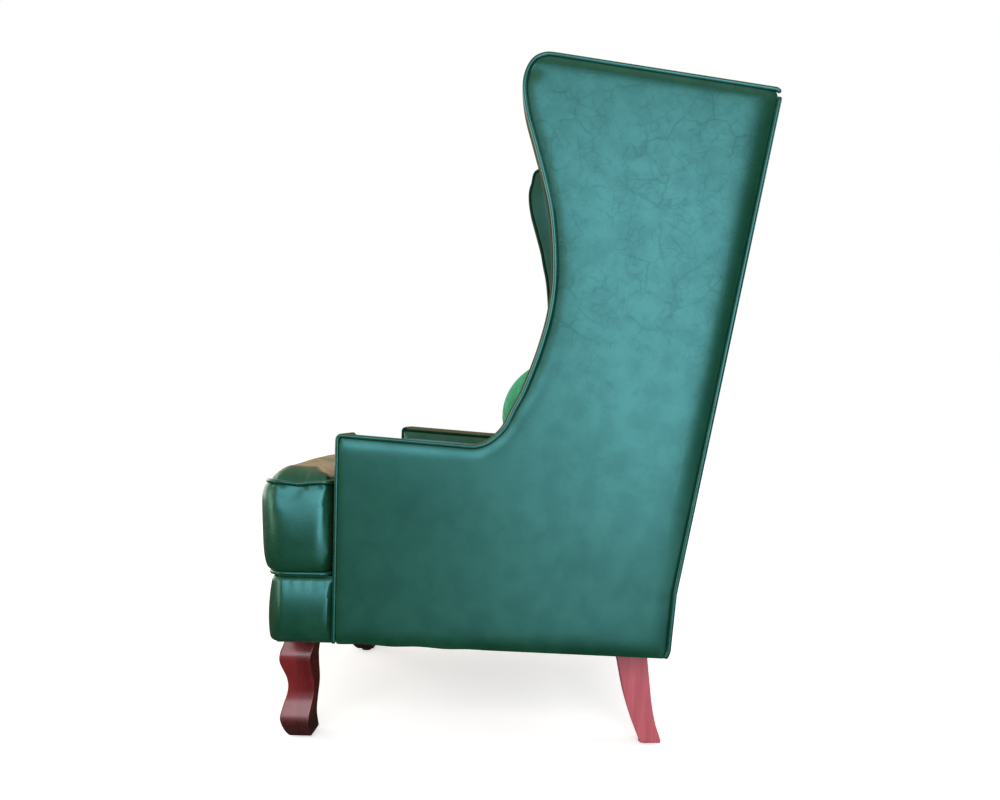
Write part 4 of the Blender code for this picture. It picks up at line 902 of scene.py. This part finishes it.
def seatOutline():
    # T-shaped seam with rounded corners, anticlockwise, and how full the bulge is at each point
    half = [("earX", "frontY", "frontRadius"), ("earX", "earY", "cornerRadius"), ("bodyX", "earY", "notchRadius"),
            ("bodyX", "rearY", "cornerRadius")]
    corners = [(side * seat[x], seat[y], radius) for side, run in ((1, half), (-1, half[::-1]))
               for x, y, radius in run]
    corners = corners[-1:] + corners[:-1]
    places = np.array([corner[:2] for corner in corners])
    arcs = [roundedCorner(before, place, after, seat[corner[2]], 8) for before, place, after, corner
            in zip(np.roll(places, 1, axis=0), places, np.roll(places, -1, axis=0), corners)]
    outline = evenly(np.concatenate(arcs), seat["spacing"], closed=True)
    outer = places[[corner[2] != "notchRadius" for corner in corners]]
    nearest = np.linalg.norm(outline[:, None] - outer, axis=2).min(axis=1)
    return outline, np.minimum(1, nearest / seat["dipRun"]) ** 2


seatSeam, seatFullness = seatOutline()
seatOutward = rightOf(seatSeam, closed=True)
seatTopZ = seat["topZ"] - seat["dip"] * seatFullness
seatRun = runAlong(seatSeam)
seatTopSeam = seatSeam.copy()
seatTopSeam[:, 1] -= seat["lean"] * smoothStep(seat["earY"] - 0.01, seat["frontY"], seatSeam[:, 1])
seatTopPath = np.column_stack([seatTopSeam, seatTopZ])
seatLowPath = np.column_stack([seatSeam, np.full(len(seatSeam), seat["lowZ"])])


def seatBulge():
    # the front bellies most, then the short sides ahead of the arms; beside the arms it is held flat
    facing = np.maximum(0, -seatOutward[:, 1])
    onEar = np.clip((seat["earY"] - seatSeam[:, 1]) / (seat["earY"] - seat["frontY"]), 0, 1)
    earShape = (1 - (1 - np.clip(onEar * 12, 0, 1)) ** 2) * (np.abs(seatSeam[:, 0]) > 0.30)
    bulge = np.maximum(seat["frontBulge"] * facing ** 0.6 * (9 + seatFullness) / 10, seat["earBulge"] * earShape)
    return np.where(onEar > 0, bulge, seat["sideBulge"])


def seatCushion():
    # flat below, bellied walls from the lower seam to the upper one, then a puffed rim and a low crown
    middle = np.array((0, seat["middleY"]))
    bulge = seatBulge()
    ahead = np.maximum(0, -seatOutward[:, 1])
    rings = [np.column_stack([middle + (seatSeam - middle) * share, np.full(len(seatSeam), seat["bottomZ"])])
             for share in (0.25, 0.5, 0.75, 0.9, 0.97)]
    rings.append(seatLowPath)
    for rise in np.linspace(0, 1, 25)[1:-1]:
        even = (1 - abs(2 * rise - 1) ** 6) ** 0.5
        low = math.sin(math.pi * rise ** 0.68) ** 0.8
        out = bulge * (even * ahead + low * (1 - ahead))
        place = seatSeam + (seatTopSeam - seatSeam) * rise + seatOutward * out[:, None]
        rings.append(np.column_stack([place, seat["lowZ"] + (seatTopZ - seat["lowZ"]) * rise]))
    rings.append(seatTopPath)
    for share in 1 - np.concatenate([[0.004, 0.009, 0.016, 0.026, 0.040], np.linspace(0.058, 0.96, 34)]):
        place = middle + (seatTopSeam - middle) * share
        depth, _ = distanceTo(seatTopSeam, place, closed=True)
        forward = smoothStep(-0.06, -0.22, place[:, 1])
        crown = (seat["crown"] - seat["frontSink"] * forward) * (
            1 - (1 - np.minimum(1, depth / seat["crownRun"])) ** 2)
        puff = seat["rearPuff"] + (seat["puff"] - seat["rearPuff"]) * forward
        lumps = ripple(*place.T, seat["waves"]) * smoothStep(0, 0.05, depth)
        height = (seat["topZ"] + (seatTopZ - seat["topZ"]) * share ** 4 + crown
                  + puff * np.sqrt(np.clip(depth / seat["puffRun"], 0, 1)) + lumps)
        rings.append(np.column_stack([place, height]))
    grid = np.array(rings)
    return meshFromGrid("cushion", grid, poles=((*middle, seat["bottomZ"]), grid[-1].mean(axis=0)))


def vectorsOf(mesh, field="co"):
    values = np.empty(len(mesh.vertices) * 3, np.float32)
    mesh.vertices.foreach_get(field, values)
    return values.reshape(-1, 3).astype(float)


def moveTo(obj, points):
    obj.data.vertices.foreach_set("co", points.astype(np.float32).ravel())
    obj.data.update()


def settle(obj):
    # the modifiers' result becomes the object's own mesh
    graph = bpy.context.evaluated_depsgraph_get()
    made = bpy.data.meshes.new_from_object(obj.evaluated_get(graph))
    obj.modifiers.clear()
    obj.data = made


clothSettings = {
    "quality": 5, "mass": 0.25, "tension_stiffness": 12, "compression_stiffness": 12, "shear_stiffness": 5,
    "air_damping": 2, "use_pressure": True, "uniform_pressure_force": 4, "vertex_group_mass": "held",
}


def puffed(obj, voxel, held, capOf, slack=0.012, bending=4, frames=20):
    # an even skin over the form is blown up like cloth, held at its seams and never moved past its cap
    skin = obj.modifiers.new("skin", "REMESH")
    skin.mode = "VOXEL"
    skin.voxel_size = voxel
    settle(obj)
    start = vectorsOf(obj.data)
    group = obj.vertex_groups.new(name="held")
    for level in range(1, 11):
        chosen = np.flatnonzero(np.round(held(start) * 10) == level)
        if len(chosen):
            group.add(chosen.tolist(), level / 10, "REPLACE")
    sewn = obj.modifiers.new("blown", "CLOTH")
    for key, value in {**clothSettings, "bending_stiffness": bending, "shrink_min": -slack}.items():
        setattr(sewn.settings, key, value)
    sewn.settings.effector_weights.gravity = 0
    sewn.point_cache.frame_start, sewn.point_cache.frame_end = 1, frames
    for number in range(1, frames + 1):
        bpy.context.scene.frame_set(number)
    settle(obj)
    bpy.context.scene.frame_set(1)
    obj.vertex_groups.clear()
    moved = vectorsOf(obj.data) - start
    size = np.maximum(np.linalg.norm(moved, axis=1), 1e-9)
    cap = capOf(start)
    moveTo(obj, start + moved * (cap * np.tanh(size / cap) / size)[:, None])
    finer = obj.modifiers.new("finer", "SUBSURF")
    finer.levels = finer.render_levels = 1
    settle(obj)
    obj.data.shade_smooth()


def softenCushion(obj):
    def held(points):
        # the two seams and the face that lies on the deck
        top, low = (distanceTo(path, points, closed=True)[0] for path in (seatTopPath, seatLowPath))
        onSeam = np.maximum(smoothStep(0.008, 0.004, top), smoothStep(0.008, 0.004, low))
        return np.maximum(onSeam, points[:, 2] < seat["bottomZ"] + 0.002)

    def capOf(points):
        # free on top, less free in front, nearly fixed beside the arms and at the back
        beside = (points[:, 1] > seat["earY"] - 0.012) & (points[:, 2] < 0.447)
        return np.where(beside, 0.0006, np.where(points[:, 2] < 0.444, 0.0016, 0.0050))

    puffed(obj, seat["voxel"], held, capOf)


def cushionGathers(obj):
    # short folds fan out from the seams: their depth fades with the distance from the seam
    points = vectorsOf(obj.data)
    depth, which = distanceTo(seatTopPath, points, closed=True)
    run = seatRun[which]
    below = points[:, 2] < seatTopZ[which] - 0.001
    reach = np.where(below, 0.017 + 0.006 * np.sin(run * 61), 0.026 + 0.012 * np.sin(run * 43))
    fold = np.sin(run * 2 * math.pi / 0.023 + 1.3 * np.sin(run * 29)) + 0.6 * np.sin(run * 2 * math.pi / 0.0151)
    fold = -np.clip(fold, 0, 1.6) ** 1.5
    strength = np.where(below, 0.0024, 0.0012) * smoothStep(0, 1, 0.5 + 0.5 * np.sin(run * 17 + 0.6))
    shape = np.clip(1 - depth / reach, 0, 1) ** 1.3 * smoothStep(0, 0.005, depth)
    low, whichLow = distanceTo(seatLowPath, points, closed=True)
    lowFold = -np.clip(np.sin(seatRun[whichLow] * 2 * math.pi / 0.027 + 0.9), 0, 1) ** 2
    lowShape = np.clip(1 - low / 0.012, 0, 1) ** 1.3 * smoothStep(0, 0.004, low) * (points[:, 2] > seat["lowZ"])
    folds = fold * strength * shape + 0.0006 * lowFold * lowShape
    moveTo(obj, points + vectorsOf(obj.data, "normal") * folds[:, None])


def cushionPiping(name, path, nodes):
    out = seatOutward * (seat["pipeRadius"] + chair["gap"])
    piping(name, path + np.column_stack([out, np.zeros(len(out))]), seat["pipeRadius"], weltLeather, nodes,
           closed=True)


# Lumbar pillow
pillow = {"halfWidth": 0.220, "halfHeight": 0.113, "halfThickness": 0.0797, "tilt": math.radians(15),
          "drawX": 0.010, "drawZ": 0.005, "columns": 64, "rows": 40, "voxel": 0.0060}
pillowUp = np.array((0, math.sin(pillow["tilt"]), math.cos(pillow["tilt"])))
pillowOut = np.array((0, -math.cos(pillow["tilt"]), math.sin(pillow["tilt"])))
pillowCentre = sum(np.array(corner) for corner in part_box("lumbar_pillow")) / 2


def lumbarPillow():
    # a puffed rectangle: both faces swell from one seam, which pulls in between its corners
    u = np.sin(math.pi / 2 * np.linspace(-1, 1, pillow["columns"] + 1))[:, None]
    v = np.sin(math.pi / 2 * np.linspace(-1, 1, pillow["rows"] + 1))[None]
    swell = pillow["halfThickness"] * np.sqrt(np.clip(1 - u ** 4, 0, 1)) * np.clip(1 - v * v, 0, 1) ** 0.75
    x = u * (pillow["halfWidth"] - pillow["drawX"] * (1 - v * v))
    rise = v * (pillow["halfHeight"] - pillow["drawZ"] * (1 - u * u))
    flat = x[..., None] * (1, 0, 0) + rise[..., None] * pillowUp
    front, rear = (flat + way * swell[..., None] * pillowOut + pillowCentre for way in (1, -1))
    points, _, faces = backToBack(front, rear)
    return newPiece("pillow", points, faces, weld=0.00005, sharp=False)


def softenPillow(obj):
    def held(points):
        # the seam all round its rim
        offset = points - pillowCentre
        across, up = np.abs(offset[:, 0]), np.abs(offset @ pillowUp)
        rim = np.maximum(across / pillow["halfWidth"], up / pillow["halfHeight"])
        return smoothStep(0.90, 0.97, rim) * smoothStep(0.030, 0.012, np.abs(offset @ pillowOut))

    def capOf(points):
        # the rear half lies against the back and stays where it is
        return np.where((points - pillowCentre) @ pillowOut < 0, 0.0008, 0.0030)

    puffed(obj, pillow["voxel"], held, capOf, slack=0.03, bending=1)


# Legs. Each profile is a list of shares of its depth, or of distances from the middle, at shares of the height
legs = {"footZ": 0.0048, "topZ": 0.1867, "rearTopY": 0.2, "frontStart": -0.4088, "frontDepth": 0.0605,
        "rearStart": 0.1722, "rearDepth": 0.080, "sections": 110, "count": 48, "squareness": 0.065,
        "soft": 0.0026}
legProfiles = {
    "frontFace": [(0.34, 0), (0.211, 0.043), (0.104, 0.104), (0.047, 0.165), (0.067, 0.228), (0.113, 0.297),
                  (0.171, 0.366), (0.201, 0.43), (0.203, 0.48), (0.168, 0.545), (0.094, 0.613), (0.02, 0.681),
                  (0, 0.738), (0.014, 0.798), (0.078, 0.867), (0.15, 1)],
    "frontBack": [(0.975, 0), (0.913, 0.055), (0.876, 0.123), (0.891, 0.206), (0.92, 0.275), (0.945, 0.344),
                  (0.964, 0.41), (0.97, 0.46), (0.955, 0.522), (0.93, 0.591), (0.905, 0.66), (0.895, 0.728),
                  (0.93, 0.797), (0.985, 0.873), (0.995, 1)],
    "frontOuter": [(0.293, 0), (0.2945, 0.06), (0.295, 0.13), (0.2932, 0.18), (0.288, 0.25), (0.2825, 0.33),
                   (0.28, 0.4), (0.281, 0.46), (0.2845, 0.54), (0.2895, 0.62), (0.2938, 0.69), (0.295, 0.73),
                   (0.293, 0.78), (0.2865, 0.86), (0.279, 0.95), (0.2755, 1)],
    "frontInner": [(0.243, 0), (0.237, 0.06), (0.236, 0.13), (0.24, 0.22), (0.244, 0.34), (0.243, 0.44),
                   (0.238, 0.6), (0.234, 0.73), (0.24, 0.83), (0.245, 1)],
    "rearFace": [(0.562, 0), (0.443, 0.14), (0.311, 0.3), (0.2, 0.475), (0.1, 0.7), (0.034, 0.86), (0, 1)],
    "rearBack": [(0.985, 0), (1, 0.035), (0.885, 0.2), (0.8, 0.4), (0.74, 0.64), (0.69, 0.85), (0.665, 1)],
    "rearOuter": [(0.295, 0), (0.295, 1)],
    "rearInner": [(0.25, 0), (0.25, 1)],
}


def legMesh(name, end, top, side):
    # a stack of rounded squares between four profiles, softened at both ends
    heights = np.concatenate([legs["footZ"] + np.array([0, 0.0003, 0.0008, 0.0015, 0.0026]),
                              np.linspace(legs["footZ"], top, legs["sections"])[3:]])
    lines = {}
    for line in ("Face", "Back", "Outer", "Inner"):
        curve = curveThrough(legProfiles[end + line], 12)
        order = np.argsort(curve[:, 1])
        shares = np.interp((heights - legs["footZ"]) / (top - legs["footZ"]), curve[order, 1], curve[order, 0])
        inDepth = line in ("Face", "Back")
        lines[line] = legs[f"{end}Start"] + legs[f"{end}Depth"] * shares if inDepth else shares
    angle = np.linspace(0, 2 * math.pi, legs["count"], endpoint=False) + math.pi / legs["count"]
    a, b = (np.sign(wave) * np.abs(wave) ** legs["squareness"] for wave in (np.cos(angle), np.sin(angle)))
    ends = np.minimum(heights - heights[0], heights[-1] + 0.01 - heights)
    shrink = legs["soft"] * (1 - quarterRound(ends / legs["soft"]))
    halfX, halfY = (lines["Outer"] - lines["Inner"]) / 2 - shrink, (lines["Back"] - lines["Face"]) / 2 - shrink
    x = side * ((lines["Outer"] + lines["Inner"])[:, None] / 2 + halfX[:, None] * a)
    y = (lines["Face"] + lines["Back"])[:, None] / 2 + halfY[:, None] * b
    return meshFromGrid(name, np.stack(np.broadcast_arrays(x, y, heights[:, None]), axis=-1))


def makeLegs():
    for sideName, side in sides:
        for end, top, material in (("front", legs["topZ"], frontLegWood),
                                   ("rear", underside(legs["rearTopY"]) - chair["gap"], rearLegWood)):
            leg = legMesh(f"{end}_foot_{sideName}", end, top, side)
            dress(leg, material, [f"{end}_leg_{sideName}"])


dust = {"columns": 72, "rows": 64, "sag": 0.0062, "pucker": 0.0005, "puckerX": 0.045, "puckerY": 0.06,
        "thickness": 0.0010, "clear": 0.0001}


def dustCover():
    # a thin cloth tacked along its edges, which hangs a little lower in the middle
    low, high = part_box("dust_cover")
    x = np.linspace(low.x, high.x, dust["columns"])[:, None]
    y = np.linspace(low.y, high.y, dust["rows"])[None]
    inside = (1 - np.abs(x / high.x) ** 3) * (1 - np.abs((2 * y - low.y - high.y) / (high.y - low.y)) ** 3)
    sag = dust["sag"] * inside * smoothStep(0, 0.10, np.abs(high.x - np.abs(x)) + 0.04)
    puckers = np.sin(x * 2 * math.pi / dust["puckerX"]) * np.sin(y * 2 * math.pi / dust["puckerY"])
    bottom = underside(y) - sag + dust["pucker"] * puckers * inside + dust["clear"]
    flat, rim = (np.stack(np.broadcast_arrays(x, y, bottom + up), axis=-1) for up in (0, dust["thickness"]))
    points, index, faces = backToBack(flat, rim)
    edge = np.concatenate([index[0, :-1], index[:-1, -1], index[-1, :0:-1], index[:0:-1, 0]])
    wall = np.stack([edge, np.roll(edge, -1), np.roll(edge, -1) + index.size, edge + index.size], axis=1)
    obj = newPiece("dust_sheet", points, faces + wall.tolist())
    dress(obj, lining, ["dust_cover"])


# Radius and height round the glide's wall
glideProfile = np.array([(0.0085, 0), (0.0100, 0.0003), (0.0108, 0.0011), (0.0110, 0.0022), (0.0108, 0.0036),
                         (0.0100, 0.0043), (0.0088, 0.0045)])


def makeGlides():
    # a moulded puck: its wall rises from a rounded sole to a chamfered rim
    angle = np.linspace(0, 2 * math.pi, 48, endpoint=False)
    radius, height = glideProfile[:, :1], glideProfile[:, 1:]
    for end in ("front", "rear"):
        for sideName, _ in sides:
            node = f"{end}_glide_{sideName}"
            low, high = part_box(node)
            x, y = (low.x + high.x) / 2 + radius * np.cos(angle), (low.y + high.y) / 2 + radius * np.sin(angle)
            glide = meshFromGrid(f"glide_{end}_{sideName}", np.stack(np.broadcast_arrays(x, y, height), axis=-1))
            dress(glide, glidePlastic, [node])


for sideName, side in sides:
    for makeCover in (outsidePanel, sideWelt, boxing, insideArm, insideWing):
        makeCover(sideName, side)
insideBackCover()
outsideBackCover()
frontBase()
print("covers made")
cushion = seatCushion()
softenCushion(cushion)
cushionGathers(cushion)
dress(cushion, cushionLeather, ["seat_cushion"])
cushionPiping("cushion_piping_top", seatTopPath, ["cushion_top_welt"])
cushionPiping("cushion_piping_bottom", seatLowPath, ["cushion_bottom_welt"])
pillowPiece = lumbarPillow()
softenPillow(pillowPiece)
dress(pillowPiece, pillowVelvet, ["lumbar_pillow"])
print("cushion and pillow made")
makeLegs()
makeGlides()
dustCover()
print("legs made")

# Studio: camera, lamps, pale floor and background
view = {"place": (1.739, 0.035, 0.571), "roll": math.radians(1.15), "lens": 30.13, "shiftX": -0.041,
        "shiftY": 0.013}
cameraData = bpy.data.cameras.new("camera")
cameraData.lens, cameraData.sensor_width = view["lens"], 36
cameraData.shift_x, cameraData.shift_y = view["shiftX"], view["shiftY"]
camera = newObject("camera", cameraData)
camera.location = view["place"]
facing, turn = (Euler(angles).to_matrix() for angles in ((math.pi / 2, 0, math.pi / 2), (0, 0, view["roll"])))
camera.rotation_euler = (facing @ turn).to_euler()
bpy.context.scene.camera = camera

lampSetup = {
    # name: place, aim, width, height, strength per square metre, colour
    "window": ((3.2, 0.70, 1.24), (0.37, 0.15, 0.75), 1.3, 2.3, 4.9, (1, 1, 1)),
    "highWindow": ((2.9, -0.85, 1.55), (0.37, -0.25, 0.45), 1.7, 1.4, 3.9, (0.97, 1, 1)),
    "roomSide": ((3.4, 0.1, 0.6), (0.37, 0, 0.5), 3, 2.6, 0.60, (0.97, 1, 1)),
    "front": ((-1.2, -2.9, 1.3), (0, 0, 0.55), 2.6, 2.2, 2, (1, 0.93, 0.78)),
    "frontWindow": ((1.60, -2.60, 0.70), (0.37, -0.40, 0.40), 0.85, 1.10, 3.8, (1, 0.62, 0.40)),
    "farSide": ((-2.2, 0.5, 2.7), (-0.2, 0.1, 0.6), 2.4, 2, 1, (1, 0.72, 0.46)),
    "behind": ((0, 3.1, 1.9), (0, 0.3, 0.6), 2.2, 1.8, 2.2, (0.96, 0.98, 1)),
}
for name, (place, aim, width, height, strength, colour) in lampSetup.items():
    lampData = bpy.data.lights.new(name, "AREA")
    lampData.shape = "RECTANGLE"
    lampData.size, lampData.size_y = width, height
    lampData.energy = strength * math.pi * width * height
    lampData.color = colour
    lamp = newObject(name, lampData)
    lamp.location = place
    lamp.rotation_euler = (Vector(aim) - Vector(place)).to_track_quat("-Z", "Y").to_euler()
    lamp.visible_camera = False

# Camera and transmission rays see white. Glossy rays don't see that background: they see a dim, warm room,
# brighter ahead and above, and a floor with one lit patch, since the leather in the photograph mirrors a room.
room = {"cream": (1.7, 1.5, 1.15, 1), "skirting": (0.15, 0.095, 0.055, 1), "wall": (1.32, 0.80, 0.46, 1),
        "beside": (0.10, 0.11, 0.12, 1), "behind": (0.02, 0.03, 0.03, 1), "corner": (0.85, 0.52, 0.28, 1),
        "ceiling": (1.2, 0.82, 0.50, 1), "white": (1, 1, 1, 1), "ambient": 0.40}
world = bpy.data.worlds.new("studio")
bpy.context.scene.world = world
world.use_nodes = True
world.node_tree.nodes.clear()
wires = Wiring(world.node_tree)
eastward, northward, upward = wires.split(wires.node("TexCoord").outputs["Generated"])
wall = wires.mix(wires.span(upward, 0.09, 0.24), room["skirting"], room["wall"])
warm = wires.mix(wires.span(northward, -0.2, -0.8), wall, room["cream"])
near = wires.mix(wires.span(northward, 0.25, 0.6), room["beside"], room["behind"])
near = wires.mix(wires.span(northward, -0.40, -0.62), near, room["corner"])
near = wires.mix(wires.span(northward, -0.74, -0.92), near, room["cream"])
overhead = wires.times(wires.span(upward, 0.30, 0.55), wires.span(eastward, 0.82, 0.55))
near = wires.mix(overhead, near, room["ceiling"])
reflected = wires.mix(wires.span(eastward, 0.15, -0.25), near, warm)
ambient, mirrored, backdrop = (
    wires.node("Background", {"Color": colour, "Strength": strength}).outputs[0]
    for colour, strength in ((room["white"], room["ambient"]), (reflected, 1), (room["white"], 1)))
rays = wires.node("LightPath").outputs
unseen = wires.node("MixShader", {0: rays["Is Glossy Ray"], 1: ambient, 2: mirrored}).outputs[0]
surface = wires.node("MixShader", {0: wires.seenDirectly(rays), 1: unseen, 2: backdrop}).outputs[0]
wires.node("OutputWorld", {"Surface": surface})

paperTone = {"near": (0.86, 0.86, 0.86, 1), "far": (0.30, 0.30, 0.30, 1), "mirrored": (0.05, 0.04, 0.035, 1),
             "mirroredLit": (0.80, 0.80, 0.80, 1)}
floorMesh = bpy.data.meshes.new("floor")
floorMesh.from_pydata([(-9, -9, 0), (9, -9, 0), (9, 9, 0), (-9, 9, 0)], [], [(0, 1, 2, 3)])
floor = newObject("floor", floorMesh)
floorMaterial, floorShader, wires, place = newMaterial("floorPaper", {
    "Roughness": 0.9, "Specular IOR Level": 0.1, "Emission Color": (1, 1, 1, 1),
})
away = wires.node("VectorMath", {0: place}, operation="LENGTH").outputs["Value"]
fade = wires.span(away, 0.7, 1.7)
x, y, _ = wires.split(place)
# painted reflection: in glossy rays the floor is dark and glows in this one patch, which no lamp lights
paintedFloorGlow = wires.times(wires.times(wires.span(x, 0.45, 1.3), wires.span(y, -0.75, 0.35)), wires.span(y, 2.0, 0.9))
rays = wires.node("LightPath").outputs
direct = wires.times(wires.seenDirectly(rays), wires.span(fade, 0, 1, 0.56, 1))
paper = wires.mix(fade, paperTone["near"], paperTone["far"])
inMirror = wires.mix(paintedFloorGlow, paperTone["mirrored"], paperTone["mirroredLit"])
wires.feed(floorShader, {
    "Emission Strength": wires.plus(direct, wires.times(rays["Is Glossy Ray"], paintedFloorGlow)),
    "Base Color": wires.mix(rays["Is Glossy Ray"], paper, inMirror),
})
floorMesh.materials.append(floorMaterial)

bpy.context.scene.view_settings.view_transform = "Standard"
print("studio made")
